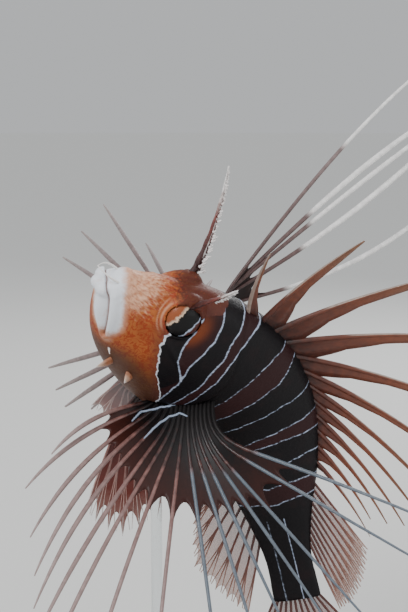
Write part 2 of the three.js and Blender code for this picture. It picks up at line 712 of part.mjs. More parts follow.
const rightFan = [
  { ray: 0, forward: -0.02, left: -0.62, up: 0.79, reach: 1.00, droop: 0.39 },
  { ray: 1, forward: -0.18, left: -0.58, up: 0.80, reach: 1.00, droop: 0.34 },
  { ray: 2, forward: -0.24, left: -0.52, up: 0.82, reach: 1.00, droop: 0.12 },
  { ray: 3, forward: -0.40, left: -0.44, up: 0.81, reach: 1.00, droop: -0.49 },
  { ray: 4, forward: -0.70, left: -0.31, up: 0.64, reach: 1.00, droop: -0.91 },
  { ray: 5, forward: -0.80, left: -0.57, up: -0.15, reach: 0.95, droop: 0.00 },
  { ray: 7, forward: -0.37, left: -0.85, up: -0.37, reach: 0.88, droop: 0.05 },
  { ray: 8, forward: -0.15, left: -0.91, up: -0.39, reach: 0.84, droop: 0.00 },
  { ray: 10, forward: -0.10, left: -0.80, up: -0.59, reach: 0.72, droop: 0.00 },
  { ray: 11, forward: -0.23, left: -0.42, up: -0.88, reach: 0.60, droop: 0.00 },
  { ray: 13, forward: -0.29, left: -0.19, up: -0.94, reach: 0.46, droop: 0.00 },
  { ray: 15, forward: -0.55, left: -0.18, up: -0.81, reach: 0.34, droop: 0.00 },
];
// Where the rays sag to: down as the photograph's viewer sees it
const sagWay = new THREE.Vector3(-0.49, 0.75, -0.44);

function pectoralRay(side, ray) {
  const share = ray / (pectoralRays - 1);
  const at = THREE.MathUtils.lerp(pectoralRoot.top.at, pectoralRoot.bottom.at, share);
  const up = THREE.MathUtils.lerp(pectoralRoot.top.up, pectoralRoot.bottom.up, share);
  const half = unit(halfWidthAt(at, up)) - rootSink;
  const base = alongBackbone(at, new THREE.Vector3(0, half * side, unit(up)));
  const fan = side > 0 ? leftFan : rightFan;
  const key = (name) => keyed(fan, ray, name);
  const finish = new THREE.Vector3(key('forward'), key('left'), key('up'));
  const start = side > 0 ? new THREE.Vector3(0.15, 1, -0.10).normalize() : new THREE.Vector3(0, -1, 0.10);
  if (side > 0) start.lerp(finish.clone().normalize(), lowRayTurn * THREE.MathUtils.smoothstep(ray, 8, 15));
  const droop = sagWay.clone().multiplyScalar(key('droop'));
  return turnedPath(base, start, finish, unit(key('reach')) + rootSink, 0.22, droop);
}

function pectoralFin(side) {
  const rays = Array.from({ length: pectoralRays }, (_, ray) => pectoralRay(side, ray));
  return rayFin(rays, {
    webReach: (k) => (side > 0 ? 0.36 : 0.30) + 0.14 * (k / (pectoralRays - 1)) ** 2,
    webDip: 0.16, webSteps: 4, ridge: 0.75, free: 5,
  }).subtract(clearBody);
}

const pelvicRoot = { at: 0.345, left: 0.030, spacing: 0.012 };
const pelvicAim = {
  left: { forward: -0.62, left: 0.50, up: -0.70 },
  right: { forward: -0.72, left: -0.30, up: -0.62 },
};
const pelvicRays = 6;

function pelvicFin(side) {
  const aim = side > 0 ? pelvicAim.left : pelvicAim.right;
  const middle = new THREE.Vector3(aim.forward, aim.left, aim.up).normalize();
  const across = new THREE.Vector3(0.75, 0.35 * side, -0.55);
  const rays = Array.from({ length: pelvicRays }, (_, ray) => {
    const share = ray / (pelvicRays - 1) - 0.5;
    const at = pelvicRoot.at - pelvicRoot.spacing * ray + 0.03;
    const up = cubicThrough('belly', at) + 0.012;
    const base = alongBackbone(at, new THREE.Vector3(0, unit(pelvicRoot.left) * side, unit(up)));
    const way = middle.clone().addScaledVector(across, share * 0.62);
    const start = new THREE.Vector3(-0.2, 0.3 * side, -1);
    const length = unit(0.36 - 0.10 * Math.abs(share + 0.1)) + rootSink;
    return turnedPath(base, start, way, length, 0.3, new THREE.Vector3(-0.1, 0, 0));
  });
  return rayFin(rays, {
    webReach: () => 1, webDip: 0.14, webSteps: 4, ridge: rayRadius,
  }).subtract(clearBody);
}

// Stand: one rod from the base up to the belly
const base = { length: 126, width: 96, thickness: 12, corner: 20, chamfer: 1.5 };
const rod = { radius: 2.0, at: 0.42, sink: 6, sides: 16, collarRadius: 4.5, collarHeight: 5 };

const fishTurn = new THREE.Matrix4().makeBasis(fishForward, fishLeft, fishUp);
const fishPlace = fishTurn.clone().setPosition(snoutPlace);

function standBase() {
  const outline = new THREE.Shape();
  const x = base.length / 2 - base.chamfer;
  const y = base.width / 2 - base.chamfer;
  const r = base.corner;
  outline.moveTo(-x + r, -y);
  outline.lineTo(x - r, -y).absarc(x - r, -y + r, r, -Math.PI / 2, 0, false);
  outline.lineTo(x, y - r).absarc(x - r, y - r, r, 0, Math.PI / 2, false);
  outline.lineTo(-x + r, y).absarc(-x + r, y - r, r, Math.PI / 2, Math.PI, false);
  outline.lineTo(-x, -y + r).absarc(-x + r, -y + r, r, Math.PI, 1.5 * Math.PI, false);
  const slab = new THREE.ExtrudeGeometry(outline, {
    depth: base.thickness - 2 * base.chamfer,
    bevelEnabled: true,
    bevelSegments: 1,
    bevelSize: base.chamfer,
    bevelThickness: base.chamfer,
    curveSegments: 6,
  });
  slab.translate(0, 0, base.chamfer);
  return weld(slab);
}

function standRod() {
  const belly = alongBackbone(rod.at, new THREE.Vector3(0, 0, unit(cubicThrough('belly', rod.at))));
  const top = belly.applyMatrix4(fishPlace);
  const bottom = base.thickness + gap;
  const height = top.z + rod.sink - bottom;
  const bar = new THREE.CylinderGeometry(rod.radius, rod.radius, height, rod.sides);
  bar.rotateX(Math.PI / 2);
  bar.translate(top.x, top.y, bottom + height / 2);
  const collar = new THREE.CylinderGeometry(rod.collarRadius - 1, rod.collarRadius, rod.collarHeight, rod.sides);
  collar.rotateX(Math.PI / 2);
  collar.translate(top.x, top.y, bottom + rod.collarHeight / 2);
  const body = clearBody.transform(fishPlace.elements);
  return joined([weld(bar), weld(collar)]).subtract(body);
}

// Materials and the scene graph
const finish = (color, roughness, metalness = 0) => new THREE.MeshStandardMaterial({ color, roughness, metalness });
const materials = {
  face: finish('#a9573a', 0.55),
  skin: finish('#2a1a1c', 0.6),
  eye: finish('#140c0e', 0.15),
  spines: finish('#6a3226', 0.5),
  membrane: finish('#5a2a26', 0.5),
  tentacle: finish('#8a5a4c', 0.6),
  wood: finish('#3b2a20', 0.45),
  acrylic: finish('#dfe8ea', 0.1),
};

const fish = new THREE.Group();
fish.applyMatrix4(fishPlace);
const model = new THREE.Group();
model.add(fish);

function addPiece(parent, name, shape, material) {
  const geometry = shape.isBufferGeometry ? shape : geometryOf(shape);
  const mesh = new THREE.Mesh(geometry, material);
  mesh.name = name;
  parent.add(mesh);
}

addPiece(fish, 'head', head(), materials.face);
addPiece(fish, 'trunk', solidOf(trunkShell()), materials.skin);
addPiece(fish, 'tail_stalk', solidOf(stalkShell()), materials.skin);
addPiece(fish, 'dorsal_spines', dorsalSpines(), materials.spines);
addPiece(fish, 'soft_dorsal_fin', medianFin(softDorsal), materials.membrane);
addPiece(fish, 'anal_fin', medianFin(analFin), materials.membrane);
addPiece(fish, 'tail_fin', caudalFin(), materials.membrane);
for (const [word, side] of [['left', 1], ['right', -1]]) {
  addPiece(fish, `eye_${word}`, solidOf(eyeBall(side)), materials.eye);
  addPiece(fish, `brow_tentacle_${word}`, browTentacle(side), materials.tentacle);
  addPiece(fish, `pectoral_fin_${word}`, pectoralFin(side), materials.membrane);
  addPiece(fish, `pelvic_fin_${word}`, pelvicFin(side), materials.membrane);
}
addPiece(model, 'stand_base', solidOf(standBase()), materials.wood);
addPiece(model, 'stand_rod', standRod(), materials.acrylic);

export default model;
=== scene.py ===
"""A life-size clearfin lionfish on a display stand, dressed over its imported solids.

Every length is in metres. Sizes on the fish are shares of its standard length, in a
frame with the snout at the origin, +X forward, +Y to the fish's left and +Z up.
"""
import logging
import math
from dataclasses import dataclass, field
from enum import Enum
from typing import Callable, Iterable, Sequence

import bmesh
import bpy
import numpy as np
from bpy.types import Material, Mesh, Node, NodeSocket, NodeTree, Object
from mathutils import Matrix, Vector


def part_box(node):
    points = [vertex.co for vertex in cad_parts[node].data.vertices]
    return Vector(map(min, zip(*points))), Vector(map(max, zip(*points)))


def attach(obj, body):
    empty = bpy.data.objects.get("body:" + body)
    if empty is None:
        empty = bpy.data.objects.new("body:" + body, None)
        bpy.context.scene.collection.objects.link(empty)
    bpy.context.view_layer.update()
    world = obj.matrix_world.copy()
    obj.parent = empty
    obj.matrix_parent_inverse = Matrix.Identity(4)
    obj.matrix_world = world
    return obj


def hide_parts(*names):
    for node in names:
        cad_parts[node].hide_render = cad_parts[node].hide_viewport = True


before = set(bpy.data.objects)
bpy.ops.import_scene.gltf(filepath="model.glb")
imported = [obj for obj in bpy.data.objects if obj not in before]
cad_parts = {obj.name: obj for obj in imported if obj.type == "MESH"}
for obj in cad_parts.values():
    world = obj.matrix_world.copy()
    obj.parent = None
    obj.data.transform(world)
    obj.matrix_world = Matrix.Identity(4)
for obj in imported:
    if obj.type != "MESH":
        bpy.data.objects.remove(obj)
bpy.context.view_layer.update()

log = logging.getLogger("lionfish")

Array = np.ndarray
Pair = tuple[float, float]
Triple = tuple[float, float, float]
Pairs = tuple[Pair, ...]
# Colours along a piece: a share of its length and an sRGB hex code for each.
Stops = tuple[tuple[float, str], ...]

STANDARD_LENGTH = 0.150
MM = 0.001
# Nearly all values of a noise texture lie between these two.
NOISE_LOW = 0.3
NOISE_HIGH = 0.7


class Side(Enum):
    """Which side of the fish a paired piece is on."""

    LEFT = 1
    RIGHT = -1


# Small helpers


def linear(code: str) -> tuple[float, float, float, float]:
    """Turns an sRGB hex colour into Blender's linear RGBA.

    Args:
        code: six hex digits after a hash.

    Returns:
        Linear red, green, blue and an alpha of one.
    """
    parts = [int(code[i:i + 2], 16) / 255 for i in (1, 3, 5)]
    turned = [c / 12.92 if c <= 0.04045 else ((c + 0.055) / 1.055) ** 2.4 for c in parts]
    return (*turned, 1.0)


def smooth(low: float, high: float, value: Array) -> Array:
    """Eases from nought at low to one at high, for every value."""
    share = np.clip((value - low) / (high - low), 0.0, 1.0)
    return share * share * (3.0 - 2.0 * share)


def circle(count: int) -> Array:
    """Angles spaced evenly round a circle."""
    return np.arange(count) / count * 2 * math.pi


def unit_rows(rows: Array) -> Array:
    """Scales every row of an array of vectors to length one."""
    return rows / np.maximum(np.linalg.norm(rows, axis=-1, keepdims=True), 1e-12)


def add_node(tree: NodeTree, kind: str, settings: dict | None = None,
             values: dict | None = None) -> Node:
    """Adds a node to a tree with its settings and links.

    Args:
        tree: the tree that gets the node.
        kind: the node's type name.
        settings: properties of the node by name, and the stops of its colour band.
        values: inputs by name or number, each a constant or a socket to link from.

    Returns:
        The new node.
    """
    node = tree.nodes.new(kind)
    for name, value in (settings or {}).items():
        if name != "stops":
            setattr(node, name, value)
            continue
        band = node.color_ramp.elements
        for index in (0, -1):
            band[index].position = value[index][0]
            band[index].color = linear(value[index][1])
        for position, code in value[1:-1]:
            band.new(position).color = linear(code)
    for name, value in (values or {}).items():
        if isinstance(value, NodeSocket):
            tree.links.new(value, node.inputs[name])
        else:
            node.inputs[name].default_value = value
    return node


def new_material(name: str, values: dict) -> tuple[Material, NodeTree, Node]:
    """Starts a material with even values on its shader's own sockets.

    Args:
        name: the finish's common name.
        values: the shader's inputs by name.

    Returns:
        The material, its tree and its shader.
    """
    made = bpy.data.materials.new(name)
    made.use_nodes = True
    shader = made.node_tree.nodes["Principled BSDF"]
    for label, value in values.items():
        shader.inputs[label].default_value = value
    return made, made.node_tree, shader


def mesh_object(name: str, points: Array, faces: Sequence[Sequence[int]],
                shades: dict[str, Array] | None = None) -> Object:
    """Makes a smooth-shaded mesh object at the origin.

    Args:
        name: the object's name.
        points: one row for each vertex, in metres.
        faces: vertex numbers of each face.
        shades: numbers for each vertex, stored as point attributes by name.

    Returns:
        The new object, linked to the scene.
    """
    mesh = bpy.data.meshes.new(name)
    mesh.from_pydata(np.asarray(points).tolist(), [], [list(map(int, f)) for f in faces])
    mesh.shade_smooth()
    store(mesh, shades or {})
    piece = bpy.data.objects.new(name, mesh)
    bpy.context.scene.collection.objects.link(piece)
    return piece


def store(mesh: Mesh, shades: dict[str, Array]) -> None:
    """Stores numbers or vectors on a mesh's points under their names.

    Args:
        mesh: the mesh that gets them.
        shades: one number or vector for each point, by name.
    """
    for label, values in shades.items():
        values = np.asarray(values, dtype=np.float32)
        if values.ndim == 2:
            spot = mesh.attributes.new(label, "FLOAT_VECTOR", "POINT")
            spot.data.foreach_set("vector", values.ravel())
        else:
            spot = mesh.attributes.new(label, "FLOAT", "POINT")
            spot.data.foreach_set("value", values)


def points_of(mesh: Mesh) -> Array:
    """Reads a mesh's vertices as an array with one row for each.

    Args:
        mesh: the mesh that is read.

    Returns:
        The places of its vertices.
    """
    flat = np.empty(len(mesh.vertices) * 3, dtype=np.float32)
    mesh.vertices.foreach_get("co", flat)
    return flat.reshape(-1, 3).astype(float)


def place_points(mesh: Mesh, points: Array) -> None:
    """Writes an array of points back to a mesh's vertices."""
    mesh.vertices.foreach_set("co", np.asarray(points, dtype=np.float32).ravel())
    mesh.update()


def baked(piece: Object) -> Object:
    """Applies every modifier of a piece by swapping in its evaluated mesh.

    Args:
        piece: the object with its modifiers.

    Returns:
        The same object, with a plain mesh and no modifiers.
    """
    graph = bpy.context.evaluated_depsgraph_get()
    graph.update()
    mesh = bpy.data.meshes.new_from_object(piece.evaluated_get(graph), preserve_all_data_layers=True,
                                           depsgraph=graph)
    piece.modifiers.clear()
    piece.data = mesh
    return piece


def report(*pieces: Object) -> None:
    """Logs the name and the faces of finished pieces."""
    for piece in pieces:
        log.info("%s: %d faces", piece.name, len(piece.data.polygons))


def joined(name: str, pieces: Iterable[Object]) -> Object:
    """Joins mesh objects into the first of them and names it.

    Args:
        name: the new object's name.
        pieces: the objects that are joined.

    Returns:
        The one object that is left.
    """
    pieces = list(pieces)
    with bpy.context.temp_override(active_object=pieces[0], object=pieces[0],
                                   selected_editable_objects=pieces, selected_objects=pieces):
        bpy.ops.object.join()
    pieces[0].name = name
    pieces[0].data.name = name
    return pieces[0]


def grid_faces(rows: int, columns: int, closed: bool = False) -> list[tuple[int, int, int, int]]:
    """Faces of a grid of points, stored row by row, that may close on itself across.

    Args:
        rows: how many rows of points.
        columns: points in a row.
        closed: whether each row closes on itself.

    Returns:
        Four point numbers for each face.
    """
    faces = []
    for row in range(rows - 1):
        for column in range(columns if closed else columns - 1):
            beside = (column + 1) % columns
            a = row * columns + column
            b = row * columns + beside
            faces.append((a, b, b + columns, a + columns))
    return faces


def loft(name: str, rings: Array, shades: dict[str, Array] | None = None) -> Object:
    """Closes a stack of rings with a fan at each end.

    Args:
        name: the object's name.
        rings: array of ring, point in the ring, and coordinate.
        shades: one number for each ring point, by attribute name.

    Returns:
        The closed mesh object, its faces pointing outwards.
    """
    count, sides, _ = rings.shape
    ends = [rings[0].mean(axis=0), rings[-1].mean(axis=0)]
    points = np.vstack([rings.reshape(-1, 3), ends])
    faces = grid_faces(count, sides, closed=True)
    first = count * sides
    last = (count - 1) * sides
    faces = [tuple(reversed(face)) for face in faces]
    for side in range(sides):
        beside = (side + 1) % sides
        faces.append((first, side, beside))
        faces.append((first + 1, last + beside, last + side))
    full = {key: np.append(values.ravel(), [values[0].mean(), values[-1].mean()])
            for key, values in (shades or {}).items()}
    piece = mesh_object(name, points, faces, full)
    return outward(piece)


def outward(piece: Object) -> Object:
    """Turns every face of a closed mesh to point outwards.

    Args:
        piece: an object whose mesh is closed.

    Returns:
        The same object.
    """
    work = bmesh.new()
    work.from_mesh(piece.data)
    bmesh.ops.recalc_face_normals(work, faces=work.faces)
    work.to_mesh(piece.data)
    work.free()
    piece.data.shade_smooth()
    return piece


def sweep(name: str, path: Array, radii: Array, sides: int, flat: float,
          narrow_way: Array) -> Object:
    """A closed tapered tube along a path, flattened towards one direction.

    Args:
        name: the object's name.
        path: points along the middle.
        radii: radius at each point.
        sides: points round the tube.
        flat: thickness as a share of the width.
        narrow_way: the direction in which the tube is thin.

    Returns:
        The closed mesh object.
    """
    along = unit_rows(np.gradient(path, axis=0))
    narrow = unit_rows(narrow_way - (along @ narrow_way)[:, None] * along)
    wide = np.cross(along, narrow)
    turn = circle(sides)
    rings = (path[:, None] + np.cos(turn)[None, :, None] * (narrow * radii[:, None] * flat)[:, None]
             + np.sin(turn)[None, :, None] * (wide * radii[:, None])[:, None])
    share = np.repeat(np.linspace(0, 1, len(path))[:, None], sides, axis=1)
    return loft(name, rings, {"share": share})


# The fish's own shape


@dataclass(frozen=True)
class Anatomy:
    """The body's outline, its curl and how it is held, as the solids have them."""

    stations: tuple[float, ...] = (-0.014, 0.0, 0.03, 0.07, 0.12, 0.18, 0.26, 0.35, 0.45, 0.56,
                                   0.68, 0.80, 0.90, 1.0)
    back: tuple[float, ...] = (0.006, 0.032, 0.056, 0.084, 0.113, 0.142, 0.162, 0.177, 0.180, 0.164,
                               0.126, 0.083, 0.060, 0.062)
    belly: tuple[float, ...] = (-0.036, -0.054, -0.086, -0.120, -0.150, -0.174, -0.190, -0.194, -0.184,
                                -0.158, -0.118, -0.078, -0.056, -0.058)
    half: tuple[float, ...] = (0.012, 0.030, 0.046, 0.058, 0.069, 0.081, 0.092, 0.096, 0.091, 0.074,
                               0.052, 0.032, 0.019, 0.012)
    snout_tip: float = 0.019
    curl_start: float = 0.30
    curl_end: float = 0.72
    curl_rate: float = 2.1
    curl_tilt: float = 0.36
    snout_place: Triple = (-0.026, -0.036, 0.176)
    forward: Triple = (-0.585, -0.570, 0.577)
    left_guess: Triple = (0.090, -0.754, -0.651)
    gill_nape: float = 0.265
    gill_bulge: float = 0.105
    gill_middle: float = 1.65
    gill_spread: float = 0.75

    def profile(self, column: Sequence[float], at: Array) -> Array:
        """Runs a smooth cubic through one column of the outline.

        Args:
            column: values at the stations.
            at: where to read it, as shares of the length behind the snout.

        Returns:
            The value at every place asked for.
        """
        x = np.array(self.stations)
        y = np.array(column)
        slope = np.empty_like(y)
        slope[1:-1] = (y[2:] - y[:-2]) / (x[2:] - x[:-2])
        slope[0] = (y[1] - y[0]) / (x[1] - x[0])
        slope[-1] = (y[-1] - y[-2]) / (x[-1] - x[-2])
        at = np.asarray(at, dtype=float)
        i = np.clip(np.searchsorted(x, at) - 1, 0, len(x) - 2)
        span = x[i + 1] - x[i]
        t = np.clip((at - x[i]) / span, 0.0, 1.0)
        t2, t3 = t * t, t * t * t
        return (y[i] * (2 * t3 - 3 * t2 + 1) + slope[i] * span * (t3 - 2 * t2 + t)
                + y[i + 1] * (3 * t2 - 2 * t3) + slope[i + 1] * span * (t3 - t2))

    def half_width(self, at: Array, up: Array) -> Array:
        """How far the skin is from the middle plane where a side view shows it.

        Args:
            at: places behind the snout.
            up: heights.

        Returns:
            The distances.
        """
        back = self.profile(self.back, at)
        belly = self.profile(self.belly, at)
        t = (up - (back + belly) / 2) / ((back - belly) / 2)
        return self.profile(self.half, at) * np.sqrt(np.clip(1 - t * t, 0, None))

    def gill_edge(self, angle: Array) -> Array:
        """Where the gill cover ends behind the snout, for an angle round the body.

        Args:
            angle: angles from the back, round the body.

        Returns:
            Places behind the snout.
        """
        angle = np.mod(angle, 2 * math.pi)
        folded = np.where(angle > math.pi, 2 * math.pi - angle, angle)
        away = (folded - self.gill_middle) / self.gill_spread
        return self.gill_nape + self.gill_bulge * np.exp(-away * away)

    def along_backbone(self, at: Array, local: Array) -> Array:
        """Carries points that ride on the backbone through its curl.

        Args:
            at: place of each point along the straight backbone, as a share of the length.
            local: forward, left and up of each point from there, in the same shares.

        Returns:
            Points of the curled fish, in shares of its length.
        """
        at = np.asarray(at, dtype=float)
        arc = np.clip(at - self.curl_start, 0, self.curl_end - self.curl_start)
        past = np.clip(at - self.curl_end, 0, None)
        turn = self.curl_rate * arc
        x = -np.minimum(at, self.curl_start) - np.sin(turn) / self.curl_rate - past * np.cos(turn)
        b = (1 - np.cos(turn)) / self.curl_rate + past * np.sin(turn)
        side_y, side_z = math.cos(self.curl_tilt), -math.sin(self.curl_tilt)
        side = local[..., 1] * side_y + local[..., 2] * side_z
        cross = -local[..., 1] * side_z + local[..., 2] * side_y
        px = x + local[..., 0] * np.cos(turn) + side * np.sin(turn)
        pb = b - local[..., 0] * np.sin(turn) + side * np.cos(turn)
        return np.stack([px, pb * side_y - cross * side_z, pb * side_z + cross * side_y], axis=-1)

    def basis(self) -> Array:
        """The fish's forward, left and up directions in the row frame, one to a row.

        Returns:
            The three directions.
        """
        forward = unit_rows(np.array(self.forward))
        up = unit_rows(np.cross(forward, np.array(self.left_guess)))
        return np.stack([forward, np.cross(up, forward), up])

    def to_row(self, points: Array) -> Array:
        """Turns points in shares on the fish into metres in the row frame."""
        return np.array(self.snout_place) + points * STANDARD_LENGTH @ self.basis()

    def posed(self, straight: Array) -> Array:
        """Carries points of the straight fish to their place in the row frame.

        Args:
            straight: forward, left and up of each point, in shares of the length.

        Returns:
            The points in metres.
        """
        local = straight.copy()
        local[..., 0] = 0.0
        ahead = np.clip(straight[..., 0], 0.0, None)
        at = -np.minimum(straight[..., 0], 0.0)
        curled = self.along_backbone(at, local)
        curled[..., 0] += ahead
        return self.to_row(curled)


BODY = Anatomy()


def pose(piece: Object) -> None:
    """Carries a piece made on the straight fish to its place in the row frame."""
    place_points(piece.data, BODY.posed(points_of(piece.data)))


@dataclass(frozen=True)
class Lip:
    """One lip: its radius at the front, where it is fullest, and how it thins to the corner."""

    side: float
    thick: float
    lobe: float
    lobe_at: float
    taper: float


@dataclass(frozen=True)
class Mouth:
    """The mouth line, from the front to its corner, the lips along it and the jaw's knobs."""

    front_forward: float = 0.020
    front_up: float = 0.004
    corner_forward: float = -0.082
    corner_up: float = -0.098
    gape: float = 0.004
    normal: Pair = (-0.77, 0.64)
    lips: tuple[Lip, ...] = (Lip(-1.0, 0.016, 0.0185, 0.62, 0.25), Lip(1.0, 0.010, 0.015, 0.45, 0.75))
    knobs: tuple[tuple[float, float, float, float], ...] = (
        (0.022, 0.0, -0.021, 0.016), (0.014, 0.020, -0.013, 0.018), (0.014, -0.020, -0.013, 0.018))

    def line(self, share: Array) -> tuple[Array, Array]:
        """Forward and up of the mouth line at shares from its front to its corner.

        Args:
            share: shares along the line.

        Returns:
            How far forward and how high each point is.
        """
        forward = self.front_forward + (self.corner_forward - self.front_forward) * share
        up = self.front_up + (self.corner_up - self.front_up) * share ** 1.12
        return forward, up

    def lip_path(self, lip: Lip, steps: int = 80) -> tuple[Array, Array]:
        """The middle of a lip from the right corner round the front to the left one.

        Args:
            lip: which lip.
            steps: how many steps the path has.

        Returns:
            Points in shares of the length, and the radius at each.
        """
        swing = np.linspace(-1, 1, steps + 1)
        share = np.abs(swing) ** 1.3
        forward, up = self.line(share)
        bulge = np.exp(-((share - lip.lobe_at) / 0.28) ** 2)
        radius = (lip.thick + (lip.lobe - lip.thick) * bulge) * (1 - lip.taper * share ** 4)
        offset = radius * 0.75 + (self.gape * (1 - share) if lip.side > 0 else 0.0)
        forward = forward - lip.side * offset * self.normal[0]
        up = up - lip.side * offset * self.normal[1]
        half = BODY.half_width(-forward, up)
        width = np.maximum(half - radius * 0.35, 0.0464 * np.sqrt(share))
        ahead = np.where(share < 0.2, -0.012 * (1 - share / 0.2), 0.0)
        return np.stack([forward + ahead, width * np.sign(swing), up], axis=1), radius


MOUTH = Mouth()


@dataclass(frozen=True)
class Eye:
    """Where each eye sits and how big it is."""

    forward: float = -0.145
    left: float = 0.054
    up: float = 0.074
    radius: float = 0.040
    depth: float = 0.028
    lid: float = 0.007
    orbit_inset: float = 0.009
    orbit_radius: float = 0.052
    orbit_depth: float = 0.027
    aim: Triple = (0.22, 0.90, 0.30)

    def matrix(self, side: Side, inset: float = 0.0) -> Matrix:
        """Places a shape whose +Y looks out of the socket onto the straight fish.

        Args:
            side: which side of the fish.
            inset: how much nearer to the middle of the head it sits.

        Returns:
            The shape's place and turn.
        """
        aim = Vector((self.aim[0], self.aim[1] * side.value, self.aim[2])).normalized()
        turn = Vector((0, 1, 0)).rotation_difference(aim).to_matrix().to_4x4()
        return Matrix.Translation((self.forward, (self.left - inset) * side.value, self.up)) @ turn

    def carried(self, points: Array, side: Side, inset: float = 0.0) -> Array:
        """Moves points from the eye's own frame to the straight fish."""
        m = np.array(self.matrix(side, inset))
        return points @ m[:3, :3].T + m[:3, 3]


EYE = Eye()


# Markings of the skin, and the painted edge of the light on the face


@dataclass(frozen=True)
class Markings:
    """Where the white lines cross the body, as pairs of height and place behind the snout.

    A line runs from the belly to the back on both sides.
    """

    lines: tuple[Pairs, ...] = (
        ((-0.030, 0.272), (0.004, 0.217), (0.041, 0.194), (0.127, 0.166), (0.150, 0.158)),
        ((-0.150, 0.318), (-0.046, 0.280), (0.019, 0.248), (0.091, 0.237), (0.133, 0.218), (0.160, 0.196)),
        ((-0.190, 0.352), (-0.100, 0.338), (-0.010, 0.317), (0.039, 0.296), (0.087, 0.284), (0.106, 0.273),
         (0.160, 0.262)),
        ((-0.190, 0.382), (-0.050, 0.352), (0.030, 0.330), (0.098, 0.303), (0.115, 0.301), (0.158, 0.303),
         (0.180, 0.314)),
        ((-0.190, 0.428), (-0.100, 0.424), (0.010, 0.410), (0.098, 0.393), (0.154, 0.387), (0.180, 0.392)),
        ((-0.190, 0.456), (-0.120, 0.462), (0.000, 0.466), (0.080, 0.457), (0.132, 0.449), (0.180, 0.430)),
        ((-0.170, 0.514), (-0.030, 0.519), (0.050, 0.516), (0.103, 0.511), (0.144, 0.510), (0.172, 0.506)),
        ((-0.150, 0.578), (-0.030, 0.585), (0.027, 0.577), (0.120, 0.569), (0.160, 0.564)),
        ((-0.150, 0.602), (-0.030, 0.609), (0.025, 0.603), (0.098, 0.602), (0.145, 0.603)),
        ((-0.120, 0.655), (-0.030, 0.672), (0.030, 0.668), (0.088, 0.658), (0.125, 0.652)),
        ((-0.110, 0.712), (0.000, 0.722), (0.100, 0.708)),
        ((-0.100, 0.752), (0.000, 0.764), (0.100, 0.748)),
    )
    # The toothed edge of the bright orange face: the painted edge of the light on the head's front.
    lit_face_edge: Pairs = (
        (-0.160, 0.345), (-0.104, 0.294), (-0.058, 0.219), (0.000, 0.159), (0.031, 0.144), (0.068, 0.140),
        (0.095, 0.146), (0.112, 0.175), (0.130, 0.205), (0.150, 0.215))
    stalk_heights: Pair = (0.020, -0.022)
    stalk_from: float = 0.80
    tooth: float = 0.005

    def line_gap(self, at: Array, up: Array) -> Array:
        """Distance from each point to the nearest white line.

        Args:
            at: places behind the snout.
            up: heights.

        Returns:
            The distances, in shares of the length.
        """
        best = np.full(at.shape, 1.0)
        for line in self.lines:
            heights, places = np.array(line).T
            here = np.interp(up, heights, places)
            slope = (np.interp(up + 0.004, heights, places) - here) / 0.004
            wave = 0.0007 * np.sin(up * 190 + places[0] * 90) + 0.0009 * np.sin(up * 83 + places[0] * 310)
            gap = np.abs(at - here - wave) / np.sqrt(1 + slope ** 2)
            beyond = np.maximum(heights[0] - up, 0)
            best = np.minimum(best, np.hypot(gap, beyond))
        for height in self.stalk_heights:
            along = np.maximum(self.stalk_from - at, 0)
            best = np.minimum(best, np.hypot(up - height, along))
        return best

    def pale_between(self, at: Array, up: Array) -> Array:
        """One where the ground between two close lines is reddish, nought on the dark bars.

        Args:
            at: places behind the snout.
            up: heights.

        Returns:
            A share for each point.
        """
        pairs = ((0, 1), (2, 3), (4, 5), (7, 8), (10, 11))
        inside = np.zeros(at.shape)
        for first, second in pairs:
            low = np.interp(up, *np.array(self.lines[first]).T)
            high = np.interp(up, *np.array(self.lines[second]).T)
            behind, ahead = smooth(low - 0.002, low + 0.002, at), smooth(high + 0.002, high - 0.002, at)
            inside = np.maximum(inside, behind * ahead)
        return inside

    def face_gap(self, at: Array, up: Array) -> Array:
        """How far each point is behind the toothed edge of the light painted on the orange face.

        Args:
            at: places behind the snout.
            up: heights.

        Returns:
            The distances, in shares of the length.
        """
        heights, places = np.array(self.lit_face_edge).T
        tooth = np.abs(np.mod(up / 0.021, 1.0) * 2 - 1) - 0.5
        small = np.abs(np.mod(up / 0.0087 + 0.3, 1.0) * 2 - 1) - 0.5
        return at - np.interp(up, heights, places) + self.tooth * (tooth + 0.45 * small)


MARKINGS = Markings()


# Finishes


